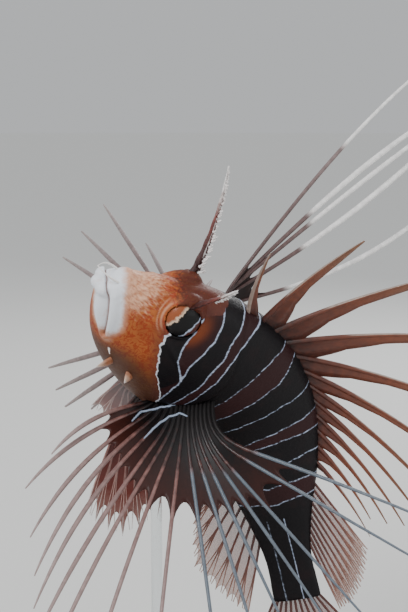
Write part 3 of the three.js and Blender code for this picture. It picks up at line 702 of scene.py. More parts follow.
@dataclass(frozen=True)
class PaintedSkin:
    """Cast resin skin, airbrushed and hand painted, then sealed with a satin lacquer.

    The lacquer gives a soft wet sheen; the fine scale relief breaks the highlights.
    """

    bar: str = "#0f0c0f"
    between: str = "#2c1516"
    # The face's orange-brown is painted bright, as where light falls on the head's front.
    face: str = "#a45a2b"
    rust: str = "#85401f"
    crown: str = "#43201b"
    vermicule: str = "#8f3018"
    # Painted highlight on the top of the snout, broken into streaks; the same colour is painted on the folds
    # before each eye.
    bloom: str = "#e6b898"
    # Painted shade, darker and greyer towards the underside of the head.
    throat: str = "#3f3026"
    edge_shade: str = "#55302a"
    lip: str = "#e2e6ec"
    lip_shade: str = "#d3a287"
    line: str = "#aebbd3"
    fringe: str = "#dcdfe8"
    # Painted shade along the mouth line, a dark line where the lips meet.
    crease: str = "#7a4c3b"
    # Painted shade in the gap round each eye, dark as a socket in shadow.
    inside: str = "#1c0c0c"
    roughness: float = 0.50
    roughness_less: float = 0.06
    roughness_more: float = 0.08
    coat: float = 0.03
    coat_roughness: float = 0.25
    specular: float = 0.18
    line_half_mm: float = 0.24
    line_soft_mm: Pair = (0.20, -0.15)
    # The scales are about a millimetre wide and drawn half as wide again, so that they show.
    scale_mm: float = 1.5
    scale_groove: float = 0.25
    bump_mm: float = 0.10
    bump_strength: float = 0.45
    grain_share: float = 0.6
    # Size along the fish of the streaks, as a share of what it is across.
    streak_stretch: float = 0.2
    # Noises in waves for each millimetre: scale, detail and distortion.
    noises: tuple[tuple[str, float, float, float], ...] = (
        ("grain", 0.9, 3.0, 0.0), ("blotch", 0.16, 2.0, 0.0), ("worm", 0.34, 1.5, 1.6),
        ("streak", 1.3, 4.0, 0.3))
    # Which noise roughens a marking's edge, and by how many millimetres.
    ragged: tuple[tuple[str, str, float], ...] = (
        ("line_gap", "grain", 0.5), ("face_gap", "grain", 1.2), ("lip_gap", "worm", 1.8),
        ("crown", "grain", 1.6))
    streak_amount: float = 1.7
    fringe_mm: float = 0.35
    stored: tuple[str, ...] = ("pale", "line_gap", "face_gap", "lip_gap", "crease_gap", "bloom", "throat",
                               "crown", "eye_fold", "plain_edge", "scaly", "warm", "deep")

    def steps(self) -> list[tuple]:
        """Lists the sums that lead from the stored values and noises to what the layers read.

        Returns:
            Name, operation and terms of each.
        """
        made = []
        for name, noise, amount in self.ragged:
            made.append((f"{name}_swing", "SUBTRACT", noise, 0.5))
            made.append((f"ragged_{name}", "MULTIPLY_ADD", f"{name}_swing", amount, name))
        return made + [
            ("worm_swing", "SUBTRACT", "worm", 0.5),
            ("worms", "ABSOLUTE", "worm_swing"),
            ("streaked", "MULTIPLY_ADD", "streak", self.streak_amount, "bloom"),
            ("from_edge", "SUBTRACT", "ragged_face_gap", self.fringe_mm),
            ("on_edge", "ABSOLUTE", "from_edge"),
            ("fringe", "ADD", "on_edge", "plain_edge")]

    def material(self) -> Material:
        """Builds the skin's material from the attributes stored on its mesh, lengths in mm.

        Returns:
            The painted resin.
        """
        paint, tree, shader = new_material("painted_resin_skin", {
            "Coat Weight": self.coat, "Coat Roughness": self.coat_roughness,
            "Specular IOR Level": self.specular})
        stored = {name: add_node(tree, "ShaderNodeAttribute", {"attribute_name": name}).outputs["Fac"]
                  for name in self.stored}
        place = add_node(tree, "ShaderNodeAttribute", {"attribute_name": "fish"}).outputs["Vector"]
        along = add_node(tree, "ShaderNodeMapping", None,
                         {"Vector": place, "Scale": (self.streak_stretch, 1.0, 1.0)}).outputs[0]
        noises = {}
        for name, scale, detail, distortion in self.noises:
            noises[name] = add_node(tree, "ShaderNodeTexNoise", None,
                                    {"Vector": along if name == "streak" else place, "Scale": scale,
                                     "Detail": detail, "Distortion": distortion}).outputs["Fac"]
        known = {**stored, **noises}
        # Each step: its name, the operation and what it works on.
        for name, operation, *terms in self.steps():
            values = {place: known.get(term, term) for place, term in enumerate(terms)}
            known[name] = add_node(tree, "ShaderNodeMath", {"operation": operation}, values).outputs[0]
        line_out, line_in = (self.line_half_mm + soft for soft in self.line_soft_mm)
        # Each layer: what it reads, where it begins and is full, how much it covers, its colour.
        coats = {
            "ground": (self.bar, (
                ("pale", 0.0, 1.0, 1.0, self.between),
                ("blotch", 0.50, 0.80, 0.25, self.between),
                ("warm", 0.15, 1.1, 0.85, self.rust),
                ("ragged_line_gap", line_out, line_in, 1.0, self.line))),
            "face": (self.face, (
                ("blotch", 0.42, 0.66, 0.55, self.rust),
                ("worms", 0.075, 0.020, 0.80, self.vermicule),
                ("streaked", 1.15, 2.30, 0.90, self.bloom),
                ("eye_fold", 0.0, 1.0, 0.4, self.bloom),
                ("ragged_crown", 0.2, 0.9, 0.85, self.crown),
                ("throat", 0.0, 1.0, 0.85, self.throat),
                ("ragged_face_gap", -7.0, -0.2, 0.55, self.edge_shade))),
            "skin": ("face", (
                ("ragged_face_gap", -0.2, 0.2, 1.0, "ground"),
                ("fringe", 0.55, 0.25, 0.9, self.fringe),
                ("ragged_lip_gap", 3.6, 0.6, 0.80, self.lip_shade),
                ("ragged_lip_gap", 1.8, -0.2, 1.0, self.lip),
                ("crease_gap", 0.50, 0.10, 0.8, self.crease),
                ("deep", 0.0, 1.0, 1.0, self.inside))),
        }
        made = {}
        for name, (first, layers) in coats.items():
            colour = made.get(first) or linear(first)
            for value, low, high, most, over in layers:
                share = add_node(tree, "ShaderNodeMapRange", {"interpolation_type": "SMOOTHSTEP"},
                                 {0: known[value], 1: low, 2: high, 3: 0.0, 4: most})
                covering = made.get(over) or linear(over)
                colour = add_node(tree, "ShaderNodeMix", {"data_type": "RGBA"},
                                  {0: share.outputs[0], 6: colour, 7: covering}).outputs[2]
            made[name] = colour
        tree.links.new(made["skin"], shader.inputs["Base Color"])
        cells = add_node(tree, "ShaderNodeTexVoronoi", {"feature": "DISTANCE_TO_EDGE"},
                         {"Vector": place, "Scale": 1.0 / self.scale_mm}).outputs["Distance"]
        plates = add_node(tree, "ShaderNodeMapRange", None, {0: cells, 1: 0.0, 2: self.scale_groove})
        scaly = add_node(tree, "ShaderNodeMath", {"operation": "MULTIPLY"},
                         {0: plates.outputs[0], 1: stored["scaly"]})
        height = add_node(tree, "ShaderNodeMath", {"operation": "MULTIPLY_ADD"},
                          {0: noises["grain"], 1: self.grain_share, 2: scaly.outputs[0]})
        bump = add_node(tree, "ShaderNodeBump", None,
                        {"Strength": self.bump_strength, "Distance": self.bump_mm * MM,
                         "Height": height.outputs[0]})
        tree.links.new(bump.outputs[0], shader.inputs["Normal"])
        rough = add_node(tree, "ShaderNodeMapRange", None,
                         {0: noises["grain"], 1: NOISE_LOW, 2: NOISE_HIGH,
                          3: self.roughness - self.roughness_less, 4: self.roughness + self.roughness_more})
        tree.links.new(rough.outputs[0], shader.inputs["Roughness"])
        return paint


@dataclass(frozen=True)
class StripedCast:
    """Cast translucent resin coloured along each piece, as on rays, spines and skin flaps.

    Clear resin with pigment lets a little light through thin edges and shines softly.
    """

    name: str
    stops: Stops
    edge: str | None = None
    edge_from: float = 0.35
    edge_full: float = 0.65
    roughness: float = 0.4
    coat: float = 0.15
    specular: float = 0.5
    alpha: float = 1.0
    grain_mm: float = 2.0
    grain_detail: float = 2.0
    grain_depth: float = 0.25
    swing: float = 0.04
    bump_mm: float = 0.0
    bump_strength: float = 0.35

    def material(self) -> Material:
        """Builds a material that reads the piece's share along its length.

        Returns:
            The tinted resin.
        """
        cast, tree, shader = new_material(self.name, {
            "Roughness": self.roughness, "Coat Weight": self.coat, "Alpha": self.alpha,
            "Specular IOR Level": self.specular})
        share = add_node(tree, "ShaderNodeAttribute", {"attribute_name": "share"}).outputs["Fac"]
        place = add_node(tree, "ShaderNodeTexCoord").outputs["Object"]
        noise = add_node(tree, "ShaderNodeTexNoise", None,
                         {"Vector": place, "Scale": 1 / (self.grain_mm * MM),
                          "Detail": self.grain_detail}).outputs["Fac"]
        shift = add_node(tree, "ShaderNodeMapRange", None,
                         {0: noise, 1: NOISE_LOW, 2: NOISE_HIGH, 3: -self.swing, 4: self.swing}).outputs[0]
        read = add_node(tree, "ShaderNodeMath", {"operation": "ADD"}, {0: share, 1: shift}).outputs[0]
        colour = add_node(tree, "ShaderNodeValToRGB", {"stops": self.stops}, {0: read}).outputs[0]
        if self.edge:
            front = add_node(tree, "ShaderNodeAttribute", {"attribute_name": "edge"}).outputs["Fac"]
            shown = add_node(tree, "ShaderNodeMapRange", {"interpolation_type": "SMOOTHSTEP"},
                             {0: front, 1: self.edge_from, 2: self.edge_full}).outputs[0]
            colour = add_node(tree, "ShaderNodeMix", {"data_type": "RGBA"},
                              {0: shown, 6: colour, 7: linear(self.edge)}).outputs[2]
        if self.grain_depth:
            depth = add_node(tree, "ShaderNodeMapRange", None,
                             {0: noise, 1: NOISE_LOW, 2: NOISE_HIGH, 3: 1 - self.grain_depth}).outputs[0]
            colour = add_node(tree, "ShaderNodeMix", {"data_type": "RGBA", "blend_type": "MULTIPLY"},
                              {0: 1.0, 6: colour, 7: depth}).outputs[2]
        tree.links.new(colour, shader.inputs["Base Color"])
        if self.bump_mm:
            bump = add_node(tree, "ShaderNodeBump", None,
                            {"Strength": self.bump_strength, "Distance": self.bump_mm * MM, "Height": noise})
            tree.links.new(bump.outputs[0], shader.inputs["Normal"])
        return cast


@dataclass(frozen=True)
class WebFinish(StripedCast):
    """Thin cast membrane, tinted in depth: dark at the root, clearer to its edge; painted shade on the
    pectorals.
    """

    roughness: float = 0.42
    specular: float = 0.25
    # The veins are finer than the picture shows and drawn about twice as wide.
    grain_mm: float = 1.6
    grain_detail: float = 3.0
    grain_depth: float = 0.0
    swing: float = 0.02
    bump_mm: float = 0.08


@dataclass(frozen=True)
class PlainFinish:
    """One even material: its common name, colour and how it takes the light."""

    name: str
    colour: str
    roughness: float
    ior: float = 1.5
    transmission: float = 0.0

    def material(self) -> Material:
        """Builds the material."""
        return new_material(self.name, {
            "Base Color": linear(self.colour), "Roughness": self.roughness, "IOR": self.ior,
            "Transmission Weight": self.transmission})[0]


@dataclass(frozen=True)
class LacqueredWood:
    """Turned and sanded walnut under satin lacquer: long soft grain and a calm sheen."""

    dark: str = "#2f2018"
    light: str = "#4d3627"
    # The growth rings are about 2 mm apart and drawn three times as far, as on a flat-sawn board.
    ring_mm: float = 6.6
    ring_detail: float = 6.0
    ring_bend: float = 0.6
    ring_stretch: float = 0.10
    dark_below: float = 0.35
    light_above: float = 0.68
    roughness: float = 0.38
    coat: float = 0.3
    coat_roughness: float = 0.18

    def material(self) -> Material:
        """Builds the wood with its grain along the base's length.

        Returns:
            The wood.
        """
        wood, tree, shader = new_material("lacquered_walnut", {
            "Roughness": self.roughness, "Coat Weight": self.coat, "Coat Roughness": self.coat_roughness})
        place = add_node(tree, "ShaderNodeTexCoord").outputs["Object"]
        along = add_node(tree, "ShaderNodeMapping", None,
                         {"Vector": place, "Scale": (self.ring_stretch, 1.0, 1.0)}).outputs[0]
        rings = add_node(tree, "ShaderNodeTexNoise", None,
                         {"Vector": along, "Scale": 1 / (self.ring_mm * MM), "Detail": self.ring_detail,
                          "Distortion": self.ring_bend}).outputs["Fac"]
        share = add_node(tree, "ShaderNodeMapRange", None,
                         {0: rings, 1: self.dark_below, 2: self.light_above}).outputs[0]
        colour = add_node(tree, "ShaderNodeMix", {"data_type": "RGBA"},
                          {0: share, 6: linear(self.dark), 7: linear(self.light)}).outputs[2]
        tree.links.new(colour, shader.inputs["Base Color"])
        return wood


@dataclass(frozen=True)
class GlassEye:
    """A cast glass eye painted behind: nearly black, with a warm pale crescent in front.

    The polished dome gives one small bright glint over the dark ground.
    """

    dark: str = "#070506"
    brown: str = "#4a241b"
    line: str = "#aebbd3"
    warm: str = "#8a4a2a"
    pale: str = "#cdb39b"
    roughness: float = 0.5
    specular: float = 0.2
    coat: float = 0.12
    coat_roughness: float = 0.05
    fleck_mm: float = 1.25
    fleck_swing: float = 0.16
    # The band is read from back to front with a margin for the flecks.
    read_from: float = -0.05
    read_to: float = 0.95

    def material(self) -> Material:
        """Builds the eye from how far forward each point is.

        Returns:
            The painted glass.
        """
        glass, tree, shader = new_material("painted_glass_eye", {
            "Roughness": self.roughness, "Specular IOR Level": self.specular,
            "Coat Weight": self.coat, "Coat Roughness": self.coat_roughness})
        front = add_node(tree, "ShaderNodeAttribute", {"attribute_name": "front"}).outputs["Fac"]
        place = add_node(tree, "ShaderNodeTexCoord").outputs["Object"]
        fleck = add_node(tree, "ShaderNodeTexNoise", None,
                         {"Vector": place, "Scale": 1 / (self.fleck_mm * MM), "Detail": 2.0}).outputs["Fac"]
        spread = add_node(tree, "ShaderNodeMapRange", None,
                          {0: front, 1: -1.0, 2: 1.0, 3: self.read_from, 4: self.read_to}).outputs[0]
        read = add_node(tree, "ShaderNodeMath", {"operation": "MULTIPLY_ADD"},
                        {0: fleck, 1: self.fleck_swing, 2: spread}).outputs[0]
        stops = ((0.22, self.brown), (0.25, self.line), (0.275, self.line), (0.30, self.dark),
                 (0.72, self.dark), (0.75, self.pale), (0.77, self.pale), (0.83, self.warm),
                 (0.96, self.warm))
        colour = add_node(tree, "ShaderNodeValToRGB", {"stops": stops}, {0: read}).outputs[0]
        tree.links.new(colour, shader.inputs["Base Color"])
        return glass


# Threads along paths, made with geometry nodes


@dataclass(frozen=True)
class ThreadTree:
    """A geometry-nodes tree that grows a round tapered thread along every edge path."""

    name: str = "threads_along_paths"

    def tree(self) -> NodeTree:
        """Builds the tree with named inputs for its sides, thickness and finish.

        Returns:
            The finished tree.
        """
        tree = bpy.data.node_groups.new(self.name, "GeometryNodeTree")
        tree.is_modifier = True
        face = tree.interface
        face.new_socket("Geometry", in_out="INPUT", socket_type="NodeSocketGeometry")
        face.new_socket("Sides", in_out="INPUT", socket_type="NodeSocketInt").default_value = 8
        face.new_socket("Thickness", in_out="INPUT", socket_type="NodeSocketFloat").default_value = 1.0
        face.new_socket("Finish", in_out="INPUT", socket_type="NodeSocketMaterial")
        face.new_socket("Geometry", in_out="OUTPUT", socket_type="NodeSocketGeometry")
        given = add_node(tree, "NodeGroupInput")
        paths = add_node(tree, "GeometryNodeMeshToCurve", None, {"Mesh": given.outputs["Geometry"]})
        radius = add_node(tree, "GeometryNodeInputNamedAttribute", {"data_type": "FLOAT"}, {"Name": "radius"})
        scale = add_node(tree, "ShaderNodeMath", {"operation": "MULTIPLY"},
                         {0: radius.outputs["Attribute"], 1: given.outputs["Thickness"]})
        profile = add_node(tree, "GeometryNodeCurvePrimitiveCircle", {"mode": "RADIUS"},
                           {"Resolution": given.outputs["Sides"], "Radius": 1.0})
        skin = add_node(tree, "GeometryNodeCurveToMesh", None,
                        {"Curve": paths.outputs[0], "Profile Curve": profile.outputs["Curve"],
                         "Scale": scale.outputs[0], "Fill Caps": True})
        even = add_node(tree, "GeometryNodeSetShadeSmooth", None, {"Geometry": skin.outputs[0]})
        whole = add_node(tree, "GeometryNodeRealizeInstances", None, {"Geometry": even.outputs[0]})
        dressed = add_node(tree, "GeometryNodeSetMaterial", None,
                           {"Geometry": whole.outputs[0], "Material": given.outputs["Finish"]})
        add_node(tree, "NodeGroupOutput", None, {"Geometry": dressed.outputs[0]})
        return tree

    def grow(self, name: str, paths: Sequence[Array], radii: Sequence[Array],
             shades: dict[str, Sequence[Array]], finish: Material,
             sides: int = 8, thickness: float = 1.0) -> Object:
        """Grows one piece of threads.

        Args:
            name: the piece's name.
            paths: points of each thread, in metres.
            radii: the radius at each point.
            shades: further numbers at each point, by attribute name.
            finish: the material of the threads.
            sides: points round a thread.
            thickness: factor on every radius.

        Returns:
            A plain mesh object with the finish on it.
        """
        mesh = bpy.data.meshes.new(name)
        points = np.vstack(paths)
        edges = []
        start = 0
        for path in paths:
            edges += [(start + i, start + i + 1) for i in range(len(path) - 1)]
            start += len(path)
        mesh.from_pydata(points.tolist(), edges, [])
        store(mesh, {"radius": np.concatenate(radii),
                     **{key: np.concatenate(values) for key, values in shades.items()}})
        piece = bpy.data.objects.new(name, mesh)
        bpy.context.scene.collection.objects.link(piece)
        group = bpy.data.node_groups.get(self.name) or self.tree()
        growth = piece.modifiers.new("threads", "NODES")
        growth.node_group = group
        wanted = {"Sides": sides, "Thickness": thickness, "Finish": finish}
        for item in group.interface.items_tree:
            if item.item_type == "SOCKET" and item.in_out == "INPUT" and item.name in wanted:
                growth[item.identifier] = wanted[item.name]
        return baked(piece)


THREADS = ThreadTree()


# Body skin


@dataclass
class Skin:
    """One skin over head, trunk and tail stalk, with lips, lids, mouth and sockets.

    Sizes without a unit are shares of the fish's length. A pair says where something
    begins and where it is full.
    """

    voxel_mm: float = 0.465
    rings: int = 170
    sides: int = 120
    body_end: float = 1.004
    lid_turns: int = 48
    lid_sides: int = 14
    ease_factor: float = 0.5
    ease_steps: int = 5
    socket_gap: float = 0.3 * MM / STANDARD_LENGTH
    nostril: Pair = (0.036, 0.042)
    gill_lift: float = 0.006
    groove_depth: float = 0.0015
    # The cheek's bony ridge, as places behind the snout and heights.
    ridge: Pairs = ((0.06, 0.062), (0.076, 0.055), (0.10, 0.033), (0.138, 0.020), (0.21, 0.004),
                    (0.25, -0.004))
    ridge_lift: float = 0.0035
    ridge_width: float = 0.007
    # Place behind the snout, height, lift and width.
    brow: tuple[float, ...] = (0.135, 0.118, 0.007, 0.028)
    snout_boss: tuple[float, ...] = (0.002, 0.034, 0.008, 0.022)
    mouth_depth: float = 0.0070
    mouth_width: float = 0.0036
    fold_lift: float = 0.0006
    folds_apart: float = 2 * math.pi / 420
    lip_fade: Pair = (0.62, 0.95)
    lip_end: float = 0.016
    # Middle and width of each fold before the eye that gets a painted highlight, in radii of the eye.
    eye_fold_highlights: Pairs = ((1.20, 0.06), (1.42, 0.05))
    # Painted highlight on the front and top of the snout.
    painted_highlight_at: Pair = (0.04, 0.12)
    painted_highlight_up: Pair = (-0.035, 0.03)
    # Painted shade under the head, beginning lower near the snout.
    throat_shade_at: Pair = (0.05, 0.16)
    throat_shade_up: Pair = (-0.02, -0.125)
    throat_shade_rise: float = 0.050
    crown_at: Pair = (0.065, 0.125)
    crown_up: Pair = (0.065, 0.105)
    scales_at: Pair = (0.16, 0.26)
    # The rust patch behind the eye: place behind the snout, height and its two widths.
    warm: tuple[float, ...] = (0.188, 0.078, 0.030, 0.048)
    # Further back the white lines are painted thinner, by so many millimetres.
    thinner_at: Pair = (0.26, 0.42)
    thinner_mm: float = 0.12
    finish: PaintedSkin = field(default_factory=PaintedSkin)

    def shell(self) -> Object:
        """The body's closed outer form, straight, in shares of the length.

        Returns:
            The closed shell.
        """
        share = np.linspace(0, 1, self.rings + 1) ** 1.35
        at = BODY.stations[0] + share * (self.body_end - BODY.stations[0])
        angle = circle(self.sides)
        back, belly, half = (BODY.profile(column, at)[:, None]
                             for column in (BODY.back, BODY.belly, BODY.half))
        rings = np.stack([np.repeat(-at[:, None], self.sides, axis=1), half * np.sin(angle)[None],
                          (back + belly) / 2 + (back - belly) / 2 * np.cos(angle)[None]], axis=-1)
        nose = np.array([[[BODY.snout_tip, 0.0, -0.021]]])
        near = rings[0] + (nose[0, 0] - rings[0]) * 0.55
        near[:, 0] = rings[0, 0, 0] + (BODY.snout_tip - rings[0, 0, 0]) * 0.80
        return loft("shell", np.concatenate([near[None], rings]))

    def lips(self) -> list[Object]:
        """The upper and lower lips and the knobs at the front of the lower jaw.

        Returns:
            Closed forms that cross the shell.
        """
        made = []
        for lip in MOUTH.lips:
            path, radius = MOUTH.lip_path(lip)
            made.append(sweep("lip", path, radius, 18, 0.8, np.array([0.0, 1.0, 0.0])))
        for *place, radius in MOUTH.knobs:
            # A ball is made in the eye's place, so it is moved from there.
            knob = ball("jaw_knob", (radius, radius, radius), 24, 16, Side.LEFT)
            middle = EYE.carried(np.zeros((1, 3)), Side.LEFT)
            place_points(knob.data, points_of(knob.data) - middle + np.array(place))
            made.append(knob)
        return made

    def lid(self, side: Side) -> Object:
        """The ring of skin round an eye.

        Args:
            side: which side of the fish.

        Returns:
            The closed ring.
        """
        turns, sides = self.lid_turns, self.lid_sides
        turn = circle(turns)[:, None]
        tube = circle(sides)[None]
        spread = EYE.radius * 0.97 + EYE.lid * np.cos(tube)
        out = np.broadcast_to(0.005 + EYE.lid * np.sin(tube), (turns, sides))
        points = np.stack([spread * np.cos(turn), out, spread * np.sin(turn)], axis=-1).reshape(-1, 3)
        faces = grid_faces(turns, sides, closed=True)
        last = (turns - 1) * sides
        faces += [(last + i, last + (i + 1) % sides, (i + 1) % sides, i) for i in range(sides)]
        return outward(mesh_object("lid", EYE.carried(points, side), faces))

    def cutters(self) -> Object:
        """What is cut out of the head: the eye sockets and the nostrils.

        Returns:
            All of them as one object.
        """
        pieces = []
        for side in Side:
            round_it = EYE.radius + self.socket_gap
            pieces.append(ball("socket", (round_it, EYE.depth + self.socket_gap, round_it), 48, 24, side))
            at, up = self.nostril
            wall = float(BODY.half_width(at, up))
            path = np.array([[-at, (wall + k) * side.value, up + k * 0.3] for k in (-0.009, 0.0, 0.012)])
            pieces.append(sweep("nostril", path, np.array([0.003, 0.0042, 0.006]), 14, 1.0,
                                np.array([1.0, 0.0, 0.0])))
        return joined("cutters", pieces)

    def straight(self) -> Object:
        """The straight body with its openings cut, as one even fine mesh.

        Returns:
            The body, with no modifier left.
        """
        cutters = self.cutters()
        orbit = (EYE.orbit_radius, EYE.orbit_depth, EYE.orbit_radius)
        body = joined("skin", [self.shell(), *self.lips(), *(self.lid(side) for side in Side),
                               *(ball("orbit", orbit, 48, 24, side, EYE.orbit_inset) for side in Side)])
        voxel = self.voxel_mm * MM / STANDARD_LENGTH
        for stage in ("first", "second"):
            remesh = body.modifiers.new(stage, "REMESH")
            remesh.mode = "VOXEL"
            remesh.voxel_size = voxel
            if stage == "first":
                cut = body.modifiers.new("openings", "BOOLEAN")
                cut.operation = "DIFFERENCE"
                cut.solver = "MANIFOLD"
                cut.object = cutters
        ease = body.modifiers.new("ease", "SMOOTH")
        ease.factor = self.ease_factor
        ease.iterations = self.ease_steps
        baked(body)
        bpy.data.objects.remove(cutters)
        return body

    def relief(self, points: Array, normals: Array) -> Array:
        """Raises the gill cover, the brow ridges and the cheek's bony ridge.

        Args:
            points: the straight skin's points.
            normals: the way each faces.

        Returns:
            The raised points.
        """
        at, up = -points[:, 0], points[:, 2]
        wide = np.abs(points[:, 1])
        middle = (BODY.profile(BODY.back, at) + BODY.profile(BODY.belly, at)) / 2
        tall = (BODY.profile(BODY.back, at) - BODY.profile(BODY.belly, at)) / 2
        angle = np.arctan2(wide / BODY.profile(BODY.half, at), (up - middle) / tall)
        edge = BODY.gill_edge(angle)
        share = np.clip((at - BODY.stations[0]) / (edge - BODY.stations[0]), 0, None) ** (1 / 1.5)
        cover = smooth(0.80, 1.0, share) * (1 - smooth(0.0, 0.010, at - edge)) * np.abs(np.sin(angle))
        lift = self.gill_lift * cover
        groove = np.exp(-((at - edge - 0.008) / 0.004) ** 2) * np.abs(np.sin(angle))
        lift -= self.groove_depth * groove
        ridge = np.interp(at, *np.array(self.ridge).T)
        strength = smooth(0.05, 0.08, at) * (1 - smooth(0.22, 0.26, at))
        near_ridge = np.exp(-((up - ridge) / self.ridge_width) ** 2)
        lift += self.ridge_lift * strength * near_ridge * smooth(0.02, 0.035, wide)
        lift += self.boss(self.brow, at, up) * smooth(0.01, 0.03, wide)
        slit = np.exp(-(self.mouth_gap(points) / self.mouth_width) ** 2)
        lift -= self.mouth_depth * slit * (1 - smooth(0.09, 0.11, at))
        lift += self.boss(self.snout_boss, at, up) * (1 - smooth(0.03, 0.05, wide))
        wave = np.sin((at * 0.8 - up * 0.55) * (2 * math.pi / self.folds_apart))
        lift += self.fold_lift * (wave * smooth(-0.02, 0.03, up) * (1 - smooth(0.07, 0.12, at)))
        return points + normals * lift[:, None]

    def boss(self, sizes: tuple[float, ...], at: Array, up: Array) -> Array:
        """How high a low round boss lifts each point."""
        place, height, rise, width = sizes
        return rise * np.exp(-(np.hypot(at - place, up - height) / width) ** 2)

    def mouth_gap(self, points: Array) -> Array:
        """How far each point is from the mouth line, seen from the side.

        Args:
            points: the straight skin's points.

        Returns:
            The distances, in shares of the length.
        """
        steps = np.linspace(0, 0.9, 60)
        forward, height = MOUTH.line(steps)
        # The line runs on a little ahead of the lips, so that it leaves the skin.
        forward, height = np.append(0.06, forward), np.append(0.044, height)
        drop = MOUTH.gape / 2 * np.append(1.0, 1 - steps)
        line = np.stack([forward - drop * MOUTH.normal[0] * 0.6, height - drop * MOUTH.normal[1]], axis=1)
        fine = np.stack([np.interp(np.linspace(0, 60, 400), np.arange(61), column)
                         for column in line.T], axis=1)
        gap = np.full(len(points), 1.0)
        near = points[:, 0] > -0.12
        gap[near] = np.linalg.norm(points[near][:, None, (0, 2)] - fine[None], axis=2).min(axis=1)
        return gap

    def lip_gap(self, points: Array) -> Array:
        """How far each point is from the nearest lip or knob of the jaw.

        Args:
            points: the straight skin's points.

        Returns:
            The distances, below nought inside.
        """
        lips = np.full(len(points), 1.0)
        near = points[:, 0] > -0.16
        for lip in MOUTH.lips:
            path, radius = MOUTH.lip_path(lip, 160)
            end = self.lip_end * smooth(*self.lip_fade, np.abs(np.linspace(-1, 1, 161)) ** 1.3)
            gap = np.linalg.norm(points[near][:, None] - path[None], axis=2) - radius[None] + end[None]
            lips[near] = np.minimum(lips[near], gap.min(axis=1))
        for *place, radius in MOUTH.knobs:
            gap = np.linalg.norm(points[near] - np.array(place), axis=1) - radius
            lips[near] = np.minimum(lips[near], gap)
        return lips

    def round_eyes(self, points: Array) -> tuple[Array, Array]:
        """How far each point is from an eye's middle, in its radii, and the painted highlights on its folds.

        Args:
            points: the straight skin's points.

        Returns:
            The distances, and a share for how strong the painted highlight on a fold is.
        """
        sockets = np.full(len(points), 9.0)
        fold_highlights = np.zeros(len(points))
        for side in Side:
            m = np.linalg.inv(np.array(EYE.matrix(side)))
            own = points @ m[:3, :3].T + m[:3, 3]
            sockets = np.minimum(sockets, np.sqrt((own[:, 0] / EYE.radius) ** 2 + (own[:, 1] / EYE.depth) ** 2
                                                  + (own[:, 2] / EYE.radius) ** 2))
            away = np.hypot(own[:, 0], own[:, 2]) / EYE.radius
            # The highlight is painted only on the front and lower side of the folds.
            ahead = (own[:, 0] * 0.85 - own[:, 2] * 0.53) / (away * EYE.radius + 1e-9)
            rings = sum(np.exp(-((away - middle) / width) ** 2) for middle, width in self.eye_fold_highlights)
            shown = smooth(0.55, 0.95, ahead) * np.clip(rings, 0, 1) * (own[:, 1] > -0.03)
            fold_highlights = np.maximum(fold_highlights, shown)
        return sockets, fold_highlights

    def shades(self, points: Array) -> dict[str, Array]:
        """Everything that the paint reads, for each point of the straight skin.

        Args:
            points: the straight skin's points.

        Returns:
            One number or vector for each point, by name.
        """
        at, up, wide = -points[:, 0], points[:, 2], np.abs(points[:, 1])
        # Distance to the mouth line, along which shade is painted into the crease.
        crease = np.where(wide < 0.08, self.mouth_gap(points), 1.0)
        sockets, fold_highlights = self.round_eyes(points)
        place, height, long, tall = self.warm
        warm = np.exp(-((at - place) / long) ** 2 - ((up - height) / tall) ** 2)
        pale = MARKINGS.pale_between(at, up)
        in_mm = STANDARD_LENGTH / MM
        return {
            "fish": points * in_mm,
            "line_gap": MARKINGS.line_gap(at, up) * in_mm + self.thinner_mm * smooth(*self.thinner_at, at),
            "pale": pale,
            "face_gap": MARKINGS.face_gap(at, up) * in_mm,
            "lip_gap": self.lip_gap(points) * in_mm,
            "crease_gap": crease * in_mm,
            "bloom": (1 - smooth(*self.painted_highlight_at, at)) * smooth(*self.painted_highlight_up, up),
            "throat": smooth(*self.throat_shade_up, up + self.throat_shade_rise * (1 - smooth(*self.throat_shade_at, at))),
            "crown": smooth(*self.crown_at, at) * smooth(*self.crown_up, up),
            "eye_fold": fold_highlights,
            # Above the face the edge has no white fringe.
            "plain_edge": 9.0 * smooth(0.055, 0.075, up),
            "scaly": smooth(*self.scales_at, at),
            "warm": pale * warm,
            # Painted shade in the gap just round each eye.
            "deep": 0.5 * (1 - smooth(0.99, 1.02, sockets)),
        }

    def build(self) -> None:
        """Makes, paints and poses the skin."""
        skin = self.straight()
        mesh = skin.data
        normals = np.empty(len(mesh.vertices) * 3, dtype=np.float32)
        mesh.vertex_normals.foreach_get("vector", normals)
        points = points_of(mesh)
        store(mesh, self.shades(points))
        place_points(mesh, BODY.posed(self.relief(points, normals.reshape(-1, 3))))
        outward(skin)
        mesh.materials.clear()
        mesh.materials.append(self.finish.material())
        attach(skin, "root")
        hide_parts("head", "trunk", "tail_stalk")
        report(skin)


